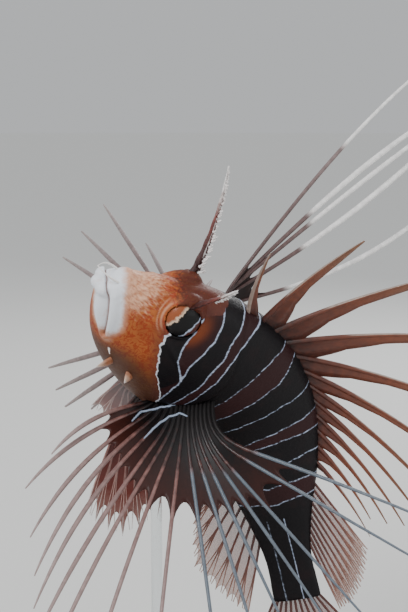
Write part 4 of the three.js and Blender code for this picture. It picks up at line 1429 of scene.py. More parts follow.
def ball(name: str, radii: Triple, turns: int, rings: int, side: Side,
         inset: float = 0.0) -> Object:
    """An ellipsoid in an eye's place, its poles on the eye's axis.

    Args:
        name: the object's name.
        radii: its half sizes across, out and up.
        turns: points round the axis.
        rings: rows from the inner to the outer pole.
        side: which eye.
        inset: how much nearer to the middle of the head it sits than the eye.

    Returns:
        The closed mesh, with how far forward each point is stored on it as "front".
    """
    fall = np.linspace(0, math.pi, rings + 1)[1:-1]
    turn = circle(turns)
    rows = np.stack([radii[0] * np.sin(fall)[:, None] * np.cos(turn)[None],
                     np.repeat(radii[1] * np.cos(fall)[:, None], turns, axis=1),
                     radii[2] * np.sin(fall)[:, None] * np.sin(turn)[None]], axis=-1)
    points = EYE.carried(rows.reshape(-1, 3), side, inset)
    poles = EYE.carried(np.array([[0.0, radii[1], 0.0], [0.0, -radii[1], 0.0]]), side, inset)
    front = np.append(rows[..., 0].ravel() / radii[0], [0.0, 0.0])
    faces = grid_faces(rings - 1, turns, closed=True)
    first, last = len(points), (rings - 2) * turns
    for i in range(turns):
        beside = (i + 1) % turns
        faces.append((first, beside, i))
        faces.append((first + 1, last + i, last + beside))
    return outward(mesh_object(name, np.vstack([points, poles]), faces, {"front": front}))


@dataclass
class Eyes:
    """Both eyes, each a polished ellipsoid in its socket."""

    turns: int = 64
    rings: int = 40
    flat: float = 0.86
    finish: GlassEye = field(default_factory=GlassEye)

    def build(self) -> None:
        """Makes and places both eyes."""
        glass = self.finish.material()
        for side in Side:
            word = side.name.lower()
            eye = ball(f"glass_eye_{word}", (EYE.radius, EYE.depth * self.flat, EYE.radius),
                       self.turns, self.rings, side)
            pose(eye)
            outward(eye)
            eye.data.materials.append(glass)
            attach(eye, "root")
            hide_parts(f"eye_{word}")
            report(eye)


# Skin tentacles, threads and flaps


@dataclass(frozen=True)
class Lock:
    """A tapered lock of skin along a bent path, in shares of the fish's length."""

    base: Pair
    aim: Triple
    bend: Triple
    curl: float
    length: float
    width: float
    flat: float

    def path(self, side: Side, steps: int = 24) -> Array:
        """The lock's middle, from a little inside the skin to its tip.

        Args:
            side: which side of the fish.
            steps: how many steps it has.

        Returns:
            Points in shares of the length.
        """
        share = np.linspace(0, 1, steps + 1)[:, None]
        wall = float(BODY.half_width(-self.base[0], self.base[1])) - 0.012
        aim, bend = (unit_rows(np.array(way) * (1, side.value, 1)) for way in (self.aim, self.bend))
        start = np.array([self.base[0], wall * side.value, self.base[1]])
        return start + self.length * (aim * (share * 1.15 - 0.15) + bend * self.curl * share ** 2)

    def piece(self, side: Side) -> Object:
        """The lock as a closed form in its place on the posed fish.

        Args:
            side: which side of the fish.

        Returns:
            The closed lock.
        """
        path = self.path(side)
        share = np.linspace(0, 1, len(path))
        radius = np.maximum(self.width * np.sin(math.pi * (0.25 + 0.72 * share)), 0.16 * MM / STANDARD_LENGTH)
        lock = sweep("lock", path, radius, 14, self.flat, np.array([0.0, 1.0, 0.0]))
        pose(lock)
        return lock


@dataclass
class FaceFlaps:
    """The thread over each nostril and the flaps along the cheek and jaw."""

    finish: StripedCast = StripedCast(
        "painted_resin_flaps", ((0.0, "#7d4629"), (0.55, "#a66a48"), (0.85, "#cfae98"), (1.0, "#ece7e4")),
        roughness=0.5)
    spines: PlainFinish = PlainFinish("painted_cheek_spines", "#5e3222", 0.5)
    threads: PlainFinish = PlainFinish("painted_white_threads", "#e9e5e1", 0.5)
    thread_width: float = 0.004
    spine_roots: Pairs = ((-0.225, -0.045), (-0.232, -0.085), (-0.222, -0.122))
    spine_length: float = 0.028
    # The thread over the nostril, the two flaps on the jaw and the short thread on the cheek.
    locks: tuple[Lock, ...] = (
        Lock((-0.010, 0.022), (0.92, 0.37, 0.02), (-0.58, -0.79, -0.19), 0.646, 0.125, 0.0026, 0.8),
        Lock((-0.162, -0.124), (0.55, 0.55, -0.62), (0.3, 0.1, -0.5), 0.40, 0.037, 0.0127, 0.35),
        Lock((-0.209, -0.116), (0.1, 0.75, -0.65), (0.1, 0.3, -0.1), 0.30, 0.026, 0.0147, 0.40),
        Lock((-0.117, -0.106), (-0.13, 1.14, -0.21), (0.3, 0.0, 0.5), 0.25, 0.030, 0.0030, 0.8))

    def cheek_spines(self, side: Side, finish: Material) -> list[Object]:
        """Short spines on the rear edge of the cheek.

        Args:
            side: which side of the fish.
            finish: their material.

        Returns:
            The closed spines.
        """
        made = []
        for forward, up in self.spine_roots:
            wall = float(BODY.half_width(-forward, up)) - 0.012
            start = np.array([forward, wall * side.value, up])
            aim = unit_rows(np.array([-0.85, 0.45 * side.value, -0.1]))
            share = np.linspace(0, 1, 9)[:, None]
            radius = (0.9 * (1 - share[:, 0]) ** 0.7 + 0.12) * MM / STANDARD_LENGTH
            spine = sweep("cheek_spine", start + aim * self.spine_length * share, radius, 10, 1.0,
                          np.array([0.0, 0.0, 1.0]))
            pose(spine)
            spine.data.materials.append(finish)
            made.append(spine)
        return made

    def build(self) -> None:
        """Makes all flaps and cheek spines as one piece."""
        skin, white, dark = self.finish.material(), self.threads.material(), self.spines.material()
        pieces = []
        for side in Side:
            for lock in self.locks:
                pieces.append(lock.piece(side))
                pieces[-1].data.materials.append(white if lock.width < self.thread_width else skin)
            pieces += self.cheek_spines(side, dark)
        flaps = joined("face_flaps", pieces)
        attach(flaps, "root")
        report(flaps)


@dataclass(frozen=True)
class TentacleSide:
    """How one tentacle is held and fringed, in shares of its length where not said."""

    reach: float
    aim: Triple
    bend: Triple
    rear: Triple
    narrow: Triple
    pale_from: float
    fringe_from: float
    # In shares of the fish's length.
    fringe_longest: float
    fringe_mm: float


TENTACLES = {
    Side.LEFT: TentacleSide(0.80, (0.40, 0.54, 0.74), (0.02, -0.02, 0.03), (-0.75, 0.0, 0.25),
                            (-0.75, 0.66, 0.05), 0.5, 0.42, 0.008, 0.36),
    Side.RIGHT: TentacleSide(0.92, (0.10, -0.66, 0.72), (0.26, -0.06, 0.04), (-0.74, 0.44, 0.51),
                             (0.2, -0.5, -0.7), 0.1, 0.02, 0.007, 0.60),
}


@dataclass
class BrowTentacles:
    """The long fringed tentacle over each eye."""

    base: Triple = (-0.137, 0.046, 0.118)
    length: float = 0.245
    width: float = 0.017
    flat: float = 0.38
    sides: int = 18
    fringes: int = 64
    fringe_to: float = 0.96
    scatter: float = 0.32
    seed: int = 4
    finish: StripedCast = StripedCast(
        "painted_resin_tentacle",
        ((0.0, "#2d1211"), (0.30, "#471c18"), (0.60, "#74322a"), (0.72, "#b3a09b"), (0.82, "#efeae8")),
        edge="#e9e4e2", roughness=0.5, grain_mm=1.2)

    def line(self, side: Side, share: Array) -> Array:
        """Points along the middle of a tentacle at shares from its base.

        Args:
            side: which side of the fish.
            share: shares of its length.

        Returns:
            Points in shares of the fish's length.
        """
        own = TENTACLES[side]
        share = (np.asarray(share, dtype=float) * own.reach)[:, None]
        start = np.array(self.base) * (1, side.value, 1)
        return (start + np.array(own.aim) * self.length * share
                + np.array(own.bend) * self.length * share ** 2)

    def blade(self, side: Side, share: Array, radius: Array) -> Object:
        """A tentacle's tapered blade, with its pale rear edge marked.

        Args:
            side: which side of the fish.
            share: shares along it, one for each ring.
            radius: its radius at each.

        Returns:
            The closed blade.
        """
        own = TENTACLES[side]
        middle = self.line(side, share * 1.06 - 0.06)
        blade = sweep("blade", middle, radius, self.sides, self.flat, unit_rows(np.array(own.narrow)))
        behind = (unit_rows(points_of(blade.data)[:-2] - np.repeat(middle, self.sides, axis=0))
                  @ unit_rows(np.array(own.rear)))
        begun = np.repeat(smooth(own.pale_from, own.pale_from + 0.2, share), self.sides)
        store(blade.data, {"edge": np.append(smooth(0.1, 0.5, behind) * begun, [0.0, 1.0])})
        pose(blade)
        return blade

    def build(self) -> None:
        """Makes both tentacles, each a blade with fine fringes down its rear edge."""
        paint = self.finish.material()
        draw = np.random.default_rng(self.seed)
        for side in Side:
            word = side.name.lower()
            own = TENTACLES[side]
            share = np.linspace(0, 1, 60)
            radius = self.width * (1 - 0.84 * share ** 0.8) * (1 + 0.10 * np.sin(share * 38))
            rear = unit_rows(np.array(own.rear))
            blade = self.blade(side, share, radius)
            blade.data.materials.append(paint)
            paths, radii, shades, whites = [], [], [], []
            for k in range(self.fringes):
                where = own.fringe_from + (self.fringe_to - own.fringe_from) * k / (self.fringes - 1)
                aside = (0.0, 0.12 * side.value * (1 if k % 2 else -1), 0.0)
                out = unit_rows(rear + aside + draw.normal(0, self.scatter, 3))
                inside = 0.5 * float(np.interp(where, share, radius))
                reach = inside + own.fringe_longest * (1 - 0.35 * where) * draw.uniform(0.1, 1.0)
                t = np.linspace(0, 1, 7)[:, None]
                here, ahead = self.line(side, np.array([where, where + 0.02]))[:, None]
                along = unit_rows(ahead - here)
                paths.append(BODY.posed(here + out * inside + out * reach * t + along * reach * 0.5 * t ** 2))
                radii.append(own.fringe_mm * (1 - 0.72 * t[:, 0]) * MM)
                shades.append(np.full(len(t), where))
                whites.append(smooth(0.0, 0.4, t[:, 0]))
            fringe = THREADS.grow("fringe", paths, radii, {"share": shades, "edge": whites}, paint, sides=6)
            tentacle = joined(f"fringed_tentacle_{word}", [blade, fringe])
            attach(tentacle, "root")
            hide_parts(f"brow_tentacle_{word}")
            report(tentacle)


# Fins

RayPath = Callable[[Array], Array]

# How much thinner a membrane is at its edge than at its root.
EDGE_THINNING = 0.55
# How far a ray's root is sunk in the skin, and steps in working out a turned ray.
ROOT_SINK = 2.5 * MM / STANDARD_LENGTH
TURN_STEPS = 12


def turned_path(base: Array, start: Array, finish: Array, length: float,
                turn_share: float, droop: Array) -> RayPath:
    """A ray that leaves the body one way, turns to its own direction and sags.

    Args:
        base: where it is rooted.
        start: the direction in which it leaves.
        finish: the direction that it turns to.
        length: its length.
        turn_share: the share of the length over which it turns.
        droop: how it is drawn aside by its tip.

    Returns:
        A function from shares of the length to points.
    """
    first, last = unit_rows(np.array(start, dtype=float)), unit_rows(np.array(finish, dtype=float))

    def path(t: Array) -> Array:
        """Points at shares of the ray's length.

        Args:
            t: shares of the length.

        Returns:
            A point for each.
        """
        t = np.asarray(t, dtype=float)
        share = (np.arange(TURN_STEPS) + 0.5)[None] / TURN_STEPS * t[:, None]
        mix = smooth(0.0, turn_share, share)[..., None]
        way = unit_rows(first * (1 - mix) + last * mix + np.asarray(droop) * share[..., None] ** 2)
        return base + (way * length * t[:, None, None] / TURN_STEPS).sum(axis=1)

    return path


def straight_ray(at: float, start: Array, way: Array, length: float) -> RayPath:
    """A straight ray that rides on the backbone.

    Args:
        at: where it stands along the backbone.
        start: its root, as forward, left and up from there.
        way: its direction.
        length: its length.

    Returns:
        A function from shares of the length to points.
    """
    def path(t: Array) -> Array:
        """Points at shares of the ray's length."""
        t = np.asarray(t, dtype=float)
        return BODY.along_backbone(np.full(t.shape, at), start + way * length * t[:, None])

    return path


def web_sheet(name: str, rays: Sequence[RayPath], reach: Callable[[float], float], dip: float,
              thick_mm: float, finish: Material, between: int = 7, rows: int = 22
              ) -> Object:
    """The membrane between rays, as one thin closed sheet with a scalloped edge.

    Args:
        name: the object's name.
        rays: the ray paths, in shares on the posed fish.
        reach: how far out the membrane goes on each ray.
        dip: how deep the edge falls in between two rays.
        thick_mm: its thickness at the root.
        finish: its material.
        between: steps from one ray to the next.
        rows: steps from root to edge.

    Returns:
        The closed sheet in metres.
    """
    columns, shares, rims = [], [], []
    for k in range(len(rays) - 1):
        last = k == len(rays) - 2
        for step in range(between + (1 if last else 0)):
            mix = step / between
            low = reach(k) * (1 - mix) + reach(k + 1) * mix
            edge = low * (1 - dip * (4 * mix * (1 - mix)) ** 0.7)
            t = edge * np.linspace(0, 1, rows + 1)
            columns.append(rays[k](t) * (1 - mix) + rays[k + 1](t) * mix)
            shares.append(t)
            rims.append(t / edge)
    grid = BODY.to_row(np.array(columns))
    across, down = np.gradient(grid, axis=0), np.gradient(grid, axis=1)
    normal = unit_rows(np.cross(across, down))
    thick = (thick_mm * (1 - EDGE_THINNING * np.array(rims)) * MM / 2)[..., None]
    count, depth = grid.shape[:2]
    points = np.vstack([(grid + normal * thick).reshape(-1, 3), (grid - normal * thick).reshape(-1, 3)])
    upper = grid_faces(count, depth)
    shift = count * depth
    faces = upper + [tuple(reversed([i + shift for i in face])) for face in upper]
    border = ([(c * depth, (c + 1) * depth) for c in range(count - 1)]
              + [((count - 1) * depth + r, (count - 1) * depth + r + 1) for r in range(depth - 1)]
              + [((c + 1) * depth - 1 + depth, (c + 1) * depth - 1) for c in range(count - 2, -1, -1)]
              + [(r + 1, r) for r in range(depth - 2, -1, -1)])
    faces += [(b, a, a + shift, b + shift) for a, b in border]
    piece = mesh_object(name, points, faces, {"share": np.tile(np.array(shares).ravel(), 2)})
    piece.data.materials.append(finish)
    return outward(piece)


@dataclass
class RayedFin:
    """A fin of bony rays with membrane between them."""

    name: str
    nodes: tuple[str, ...]
    rays: list[RayPath]
    dip: float
    web: WebFinish
    ray: StripedCast
    reach: Callable[[float], float] = lambda ray: 1.0
    ray_mm: float = 0.5
    tip_mm: float = 0.16
    taper: float = 1.5
    web_mm: float = 0.5
    forks: int = 0
    # Strength of the white and where it begins, for each ray, and how much each is thickened.
    white: Pairs = ()
    swell_mm: tuple[float, ...] = ()
    fade: float = 0.16
    # Where the branches leave a ray, step by step, where they end and how far they spread.
    fork_from: float = 0.35
    fork_step: float = 0.22
    fork_to: float = 0.985
    fork_spread: float = 0.55

    def threads(self) -> tuple[list[Array], list[Array], dict[str, list[Array]]]:
        """Paths, radii and shades of every ray, with its branches if it forks.

        Returns:
            Paths, radii and further numbers, one of each for every thread.
        """
        paths, radii, shares, whites = [], [], [], []
        count = len(self.rays)
        for k, ray in enumerate(self.rays):
            t = np.linspace(0, 1, 44)
            paths.append(BODY.to_row(ray(t)))
            swell = self.swell_mm[k] * smooth(0.2, 0.7, t) * (1 - t ** 6) if self.swell_mm else 0.0
            radii.append((self.tip_mm + (self.ray_mm - self.tip_mm) * (1 - t ** self.taper) + swell) * MM)
            shares.append(t)
            strength, begin = self.white[k] if self.white else (0.0, 0.0)
            whites.append(strength * smooth(begin, begin + self.fade, t))
            for fork in range(self.forks):
                other = k + (1 if fork % 2 else -1)
                if not 0 <= other < count:
                    continue
                begin = self.fork_from + self.fork_step * (fork // 2)
                t = np.linspace(begin, self.fork_to, 20)
                part = smooth(begin, 1.25, t)[:, None] * self.fork_spread
                paths.append(BODY.to_row(ray(t) * (1 - part) + self.rays[other](t) * part))
                radii.append((self.ray_mm * 0.62 * (1 - t) + self.tip_mm * 0.9) * MM)
                shares.append(t)
                whites.append(np.zeros_like(t))
        return paths, radii, {"share": shares, "edge": whites}

    def build(self) -> None:
        """Makes the membrane and the rays as one piece."""
        web = web_sheet(f"{self.name}_web", self.rays, self.reach, self.dip, self.web_mm, self.web.material())
        paths, radii, shades = self.threads()
        rays = THREADS.grow(f"{self.name}_rays", paths, radii, shades, self.ray.material())
        for piece in (web, rays):
            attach(piece, "root")
        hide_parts(*self.nodes)
        report(web, rays)


@dataclass(frozen=True)
class FanSide:
    """One pectoral fan: how its rays spread, how they are coloured and how thick they are."""

    # Ray, forward, left, up, reach and droop; rays between two keys are eased from one to the other.
    keys: tuple[tuple[float, ...], ...]
    stops: Stops
    edge: str
    web_reach: float
    ray_mm: float
    tip_mm: float
    taper: float
    white: Pairs
    swell_mm: tuple[float, ...]


FANS = {
    Side.LEFT: FanSide(
        # The left fan lies in shadow: its rays, their white tips and its base are painted darker and bluer
        # than the right fan's, as painted shade.
        ((0, -0.38, 0.55, 0.75, 0.96, 0.16), (1, -0.45, 0.66, 0.61, 0.95, -0.05),
         (2, -0.53, 0.78, 0.34, 0.94, 0.02), (5, -0.33, 0.93, 0.02, 0.88, 0.10),
         (9, 0.23, 0.82, -0.52, 0.72, 0.50), (10, 0.35, 0.80, -0.48, 0.65, 0.53),
         (11, 0.49, 0.73, -0.47, 0.57, 1.03), (12, 0.59, 0.69, -0.42, 0.52, 1.14),
         (13, 0.62, 0.62, -0.48, 0.45, 0.96), (14, 0.71, 0.49, -0.51, 0.38, 0.73),
         (15, 0.82, 0.43, -0.37, 0.30, 0.84)),
        ((0.0, "#0b0809"), (0.13, "#120b0c"), (0.20, "#3a1b18"), (0.30, "#7a524c"), (0.50, "#8a6f6b"),
         (1.0, "#9d8986")),
        "#5d6772", 0.36, 0.68, 0.20, 3.2, ((1.0, 0.14),) * 7 + ((0.0, 0.0),) * 9,
        (-0.22,) * 5 + (-0.15, -0.05, 0.05, 0.15, 0.25) + (0.30,) * 6),
    Side.RIGHT: FanSide(
        ((0, -0.02, -0.62, 0.79, 1.00, 0.39), (1, -0.18, -0.58, 0.80, 1.00, 0.34),
         (2, -0.24, -0.52, 0.82, 1.00, 0.12), (3, -0.40, -0.44, 0.81, 1.00, -0.49),
         (4, -0.70, -0.31, 0.64, 1.00, -0.91), (5, -0.80, -0.57, -0.15, 0.95, 0.00),
         (7, -0.37, -0.85, -0.37, 0.88, 0.05), (8, -0.15, -0.91, -0.39, 0.84, 0.00),
         (10, -0.10, -0.80, -0.59, 0.72, 0.00), (11, -0.23, -0.42, -0.88, 0.60, 0.00),
         (13, -0.29, -0.19, -0.94, 0.46, 0.00), (15, -0.55, -0.18, -0.81, 0.34, 0.00)),
        ((0.0, "#241312"), (0.16, "#43231f"), (0.34, "#5f4643"), (0.60, "#7d6a68"), (1.0, "#9c8e8b")),
        "#f6f4f2", 0.30, 0.70, 0.34, 4.0,
        ((1.0, 0.54), (1.0, 0.37), (1.0, 0.36), (1.0, 0.32), (0.9, 0.26), (0.2, 0.3)) + ((0.0, 0.0),) * 10,
        (0.10, 0.50, 0.35, 0.55, 0.35) + (0.42,) * 11),
}


@dataclass(frozen=True)
class Pectoral:
    """The wide fan of long free rays behind each gill cover."""

    top: Pair = (0.392, -0.012)
    bottom: Pair = (0.335, -0.142)
    count: int = 16
    low_ray_turn: float = 0.75
    turn_share: float = 0.22
    dip: float = 0.20
    # The white bands of the left fan, as pairs of ray and share along it.
    bands: tuple[Pairs, ...] = (
        ((13.2, 0.235), (13.6, 0.160), (13.1, 0.108), (12.0, 0.058), (10.0, 0.030), (8.0, 0.018)),
        ((11.0, 0.230), (11.0, 0.170), (10.8, 0.126), (10.0, 0.080), (8.0, 0.056), (6.0, 0.062)))
    band_lift: float = 0.50 * MM / STANDARD_LENGTH
    # The white bands are painted dim blue-grey, as white in shade.
    band_paint: PlainFinish = PlainFinish("shaded_white_band_paint", "#8c99ae", 0.5)
    sag: Triple = (-0.49, 0.75, -0.44)
    # Painted shade at the root: near black where the clear membrane shows dark shaded water behind it, then
    # its own dark red.
    web_stops: Stops = (
        (0.0, "#070607"), (0.17, "#0b0708"), (0.26, "#260e0a"), (0.42, "#3d1710"))

    def keyed(self, side: Side, ray: int) -> Array:
        """Forward, left, up, reach and droop of one ray, eased between the keys.

        Args:
            side: which side of the fish.
            ray: the ray's number.

        Returns:
            The five values.
        """
        keys = np.array(FANS[side].keys)
        i = int(np.clip(np.searchsorted(keys[:, 0], ray) - 1, 0, len(keys) - 2))
        share = (ray - keys[i, 0]) / (keys[i + 1, 0] - keys[i, 0])
        eased = share * share * (3 - 2 * share) * 0.35 + share * 0.65
        return keys[i, 1:] * (1 - eased) + keys[i + 1, 1:] * eased

    def ray(self, side: Side, number: int) -> RayPath:
        """The path of one ray.

        Args:
            side: which side of the fish.
            number: which ray, from the top.

        Returns:
            Its path.
        """
        share = number / (self.count - 1)
        at, up = (high + (low - high) * share for high, low in zip(self.top, self.bottom))
        half = float(BODY.half_width(at, up)) - ROOT_SINK
        base = BODY.along_backbone(at, np.array([0.0, half * side.value, up]))
        *way, reach, droop = self.keyed(side, number)
        start = np.array((0.0, -1.0, 0.10))
        if side is Side.LEFT:
            mix = self.low_ray_turn * smooth(8.0, 15.0, float(number))
            start = unit_rows(np.array((0.15, 1.0, -0.10))) * (1 - mix) + unit_rows(np.array(way)) * mix
        return turned_path(base, start, np.array(way), reach + ROOT_SINK, self.turn_share,
                           np.array(self.sag) * droop)

    def fin(self, side: Side) -> RayedFin:
        """The whole fin of one side.

        Args:
            side: which side of the fish.

        Returns:
            The fin, ready to build.
        """
        word = side.name.lower()
        fan = FANS[side]
        return RayedFin(
            f"pectoral_{word}", (f"pectoral_fin_{word}",), [self.ray(side, k) for k in range(self.count)],
            self.dip, WebFinish(f"tinted_pectoral_web_{word}", self.web_stops, coat=0.0),
            StripedCast(f"painted_pectoral_rays_{word}", fan.stops, edge=fan.edge, roughness=0.5),
            lambda k: fan.web_reach + 0.14 * (k / (self.count - 1)) ** 2, ray_mm=fan.ray_mm,
            tip_mm=fan.tip_mm, taper=fan.taper, web_mm=0.45, white=fan.white, swell_mm=fan.swell_mm)

    def white_bands(self) -> None:
        """Lays the white bands that cross the base of the left fan as raised lines of paint."""
        paths = []
        for band in self.bands:
            numbers, shares = np.array(band).T
            steps = np.linspace(0, 1, 40)
            places = np.linspace(0, 1, len(band))
            points = []
            along = zip(np.interp(steps, places, numbers), np.interp(steps, places, shares))
            for number, share in along:
                low = int(number)
                near, far = (self.ray(Side.LEFT, k)(np.array([share, share + 0.02])) for k in (low, low + 1))
                out = np.cross(far[0] - near[0], near[1] - near[0])
                out *= np.sign(out @ (0.3, 1.0, 0.0)) / np.linalg.norm(out)
                points.append(near[0] + (far[0] - near[0]) * (number - low) + out * self.band_lift)
            paths.append(BODY.to_row(np.array(points)))
        radii = [(0.42 - 0.16 * np.linspace(-1, 1, len(path)) ** 4) * MM for path in paths]
        shades = {"share": [np.linspace(0, 1, len(path)) for path in paths]}
        bands = THREADS.grow("pectoral_left_bands", paths, radii, shades, self.band_paint.material())
        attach(bands, "root")
        report(bands)


@dataclass(frozen=True)
class Pelvic:
    """The paired fins under the belly."""

    at: float = 0.345
    left: float = 0.030
    spacing: float = 0.012
    spread: float = 0.62
    count: int = 6

    def fin(self, side: Side) -> RayedFin:
        """The whole fin of one side.

        Args:
            side: which side of the fish.

        Returns:
            The fin, ready to build.
        """
        word = side.name.lower()
        middle = unit_rows(np.array((-0.62, 0.50, -0.70) if side is Side.LEFT else (-0.72, -0.30, -0.62)))
        across = np.array([0.75, 0.35 * side.value, -0.55])
        rays = []
        for number in range(self.count):
            share = number / (self.count - 1) - 0.5
            at = self.at - self.spacing * number + 0.03
            up = float(BODY.profile(BODY.belly, at)) + 0.012
            base = BODY.along_backbone(at, np.array([0.0, self.left * side.value, up]))
            length = 0.36 - 0.10 * abs(share + 0.1) + ROOT_SINK
            rays.append(turned_path(base, np.array([-0.2, 0.3 * side.value, -1.0]),
                                    middle + across * share * self.spread, length, 0.3,
                                    np.array([-0.1, 0.0, 0.0])))
        return RayedFin(
            f"pelvic_{word}", (f"pelvic_fin_{word}",), rays, 0.16,
            WebFinish(f"tinted_pelvic_web_{word}",
                      ((0.0, "#180c0d"), (0.35, "#4a1a18"), (0.7, "#6d2f28"), (1.0, "#a8837a"))),
            StripedCast(f"painted_pelvic_rays_{word}",
                        ((0.0, "#241112"), (0.35, "#6d3129"), (0.75, "#b58f86"), (1.0, "#ece6e3"))),
            forks=2)


@dataclass(frozen=True)
class MedianFan:
    """A fan of soft rays on the back or the belly line."""

    name: str
    node: str
    count: int
    first: float
    last: float
    above: bool
    lean_first: float
    lean_last: float
    reach: Callable[[float], float]

    def fin(self) -> RayedFin:
        """The whole fin.

        Returns:
            The fin, ready to build.
        """
        rays = []
        sign = 1 if self.above else -1
        column = BODY.back if self.above else BODY.belly
        for number in range(self.count):
            share = number / (self.count - 1)
            at = self.first + (self.last - self.first) * share
            lean = math.radians(self.lean_first + (self.lean_last - self.lean_first) * share)
            root = sign * float(BODY.profile(column, at)) - ROOT_SINK
            way = np.array([-math.sin(lean), 0.0, sign * math.cos(lean)])
            rays.append(straight_ray(at, np.array([0.0, 0.0, sign * root]), way,
                                     self.reach(share) + ROOT_SINK))
        return RayedFin(self.name, (self.node,), rays, 0.10, CLEAR_WEB, CLEAR_RAY, forks=2)


CLEAR_WEB = WebFinish("clear_tinted_web", ((0.0, "#4a1b16"), (0.35, "#74392c"), (1.0, "#a87866")), alpha=0.42)
CLEAR_RAY = StripedCast("painted_soft_rays", ((0.0, "#3f1a16"), (0.5, "#6b372b"), (1.0, "#a88273")))


@dataclass(frozen=True)
class TailFan:
    """The rounded tail fin."""

    count: int = 12
    spread: float = 34.0
    reach: float = 0.235
    root_half: float = 0.046
    rounding: float = 0.10

    def fin(self) -> RayedFin:
        """The whole fin.

        Returns:
            The fin, ready to build.
        """
        rays = []
        for number in range(self.count):
            share = number / (self.count - 1) * 2 - 1
            angle = math.radians(self.spread) * share
            length = self.reach * (1 - self.rounding * share * share) + ROOT_SINK
            rays.append(straight_ray(1.0, np.array([ROOT_SINK, 0.0, self.root_half * share]),
                                     np.array([-math.cos(angle), 0.0, math.sin(angle)]), length))
        return RayedFin("tail", ("tail_fin",), rays, 0.05, CLEAR_WEB, CLEAR_RAY, forks=4)


@dataclass
class DorsalSpines:
    """Rigid spines down the back, each with its own blade of membrane behind it."""

    first: float = 0.290
    last: float = 0.672
    count: int = 12
    sweep: float = 0.16
    lean: tuple[float, ...] = (-51, -23, 1, 21, 41, 54, 61, 64, 65, 64, 62, 60)
    reach: tuple[float, ...] = (0.19, 0.31, 0.43, 0.48, 0.49, 0.48, 0.45, 0.41, 0.36, 0.29, 0.22, 0.22)
    spine_mm: float = 1.0
    tip_mm: float = 0.16
    web_mm: float = 0.5
    rows: int = 40
    finish: StripedCast = StripedCast(
        "painted_dorsal_spines", ((0.0, "#1e0f0e"), (0.15, "#542618"), (0.5, "#75391f"), (1.0, "#80583f")),
        edge="#99857a", roughness=0.5)

    def spine(self, number: int) -> RayPath:
        """The path of one spine from inside the back to its tip.

        Args:
            number: which spine, from the front.

        Returns:
            Its path.
        """
        at = self.first + (self.last - self.first) * number / (self.count - 1)
        lean = math.radians(self.lean[number])
        root = float(BODY.profile(BODY.back, at)) - ROOT_SINK
        length = self.reach[number] + ROOT_SINK

        def path(t: Array) -> Array:
            """Points at shares of the spine's length.

            Args:
                t: shares of the length.

            Returns:
                A point for each.
            """
            t = np.asarray(t, dtype=float)
            swing = lean + self.sweep * t
            local = np.stack([-np.sin(swing) * length * t, np.zeros_like(t),
                              root + np.cos(swing) * length * t], axis=1)
            return BODY.along_backbone(np.full(t.shape, at), local)

        return path

    def blade(self, number: int) -> Object:
        """One spine and the membrane down its rear edge, as one closed form.

        Args:
            number: which spine, from the front.

        Returns:
            The closed form.
        """
        spine = self.spine(number)
        t = np.linspace(0, 1, self.rows + 1)
        front = spine(t)
        along = unit_rows(spine(np.minimum(t + 0.03, 1.02)) - spine(t - 0.03))
        if number < self.count - 1:
            ratio = self.reach[number] / self.reach[number + 1]
            back = self.spine(number + 1)(np.minimum(t * ratio, 1.0)) - front
        else:
            at = np.full(t.shape, self.last)
            behind, here = (np.tile([away, 0.0, 0.0], (len(t), 1)) for away in (-0.02, 0.0))
            back = BODY.along_backbone(at, behind) - BODY.along_backbone(at, here)
        inward = np.where(t > 0.2, 0.6, 0.6 * t / 0.2)[:, None]
        back = back - along * (back * along).sum(axis=1, keepdims=True) * inward
        width = np.linalg.norm(back, axis=1)
        ahead = unit_rows(back)
        across = unit_rows(np.cross(along, ahead))
        reach = np.interp(t, (0, 0.10, 0.19, 0.30, 0.48, 0.78, 1.0), (1, 1, 0.70, 0.40, 0.20, 0.10, 0.02))
        mm = MM / STANDARD_LENGTH
        thick = np.maximum(self.spine_mm * (1 - 0.85 * t), self.tip_mm) * mm
        thin = np.minimum(self.web_mm / 2 * mm, thick)
        far = np.maximum(width * reach * (0.6 if number == 0 else 1.0), thick * 1.6)
        half = 8
        rings, edges = [], []
        for place in range(half + 1):
            turn = math.pi * place / half
            forward, side = -np.cos(turn) * thick, np.sin(turn) * thick
            if place == half:
                forward, side = thick * 1.3, thin
            rings.append(front + ahead * forward[:, None] + across * side[:, None])
            painted = turn < (2.2 if number == 0 else 1.0)
            edges.append(float(painted) * (np.ones(t.shape) if number == 0 else smooth(0.15, 0.5, t)))
        for share in (0.5, 1.0):
            middle = thick * 1.3 + (far - thick * 1.3) * share
            rings.append(front + ahead * middle[:, None] + across * (thin * (1 - 0.6 * share))[:, None])
            edges.append(np.zeros(t.shape))
        mirrored = [2 * ((ring - front) * ahead).sum(axis=1, keepdims=True) * ahead - (ring - front) + front
                    for ring in reversed(rings[1:])]
        loop = np.stack([*rings, *mirrored], axis=1)
        edge = np.stack([*edges, *reversed(edges[1:])], axis=1)
        share = np.repeat(t[:, None], loop.shape[1], axis=1)
        return loft("spine", BODY.to_row(loop), {"share": share, "edge": edge})

    def build(self) -> None:
        """Makes the row of spines as one piece."""
        spines = joined("dorsal_spine_row", [self.blade(number) for number in range(self.count)])
        spines.data.materials.append(self.finish.material())
        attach(spines, "root")
        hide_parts("dorsal_spines")
        report(spines)


# Stand and studio


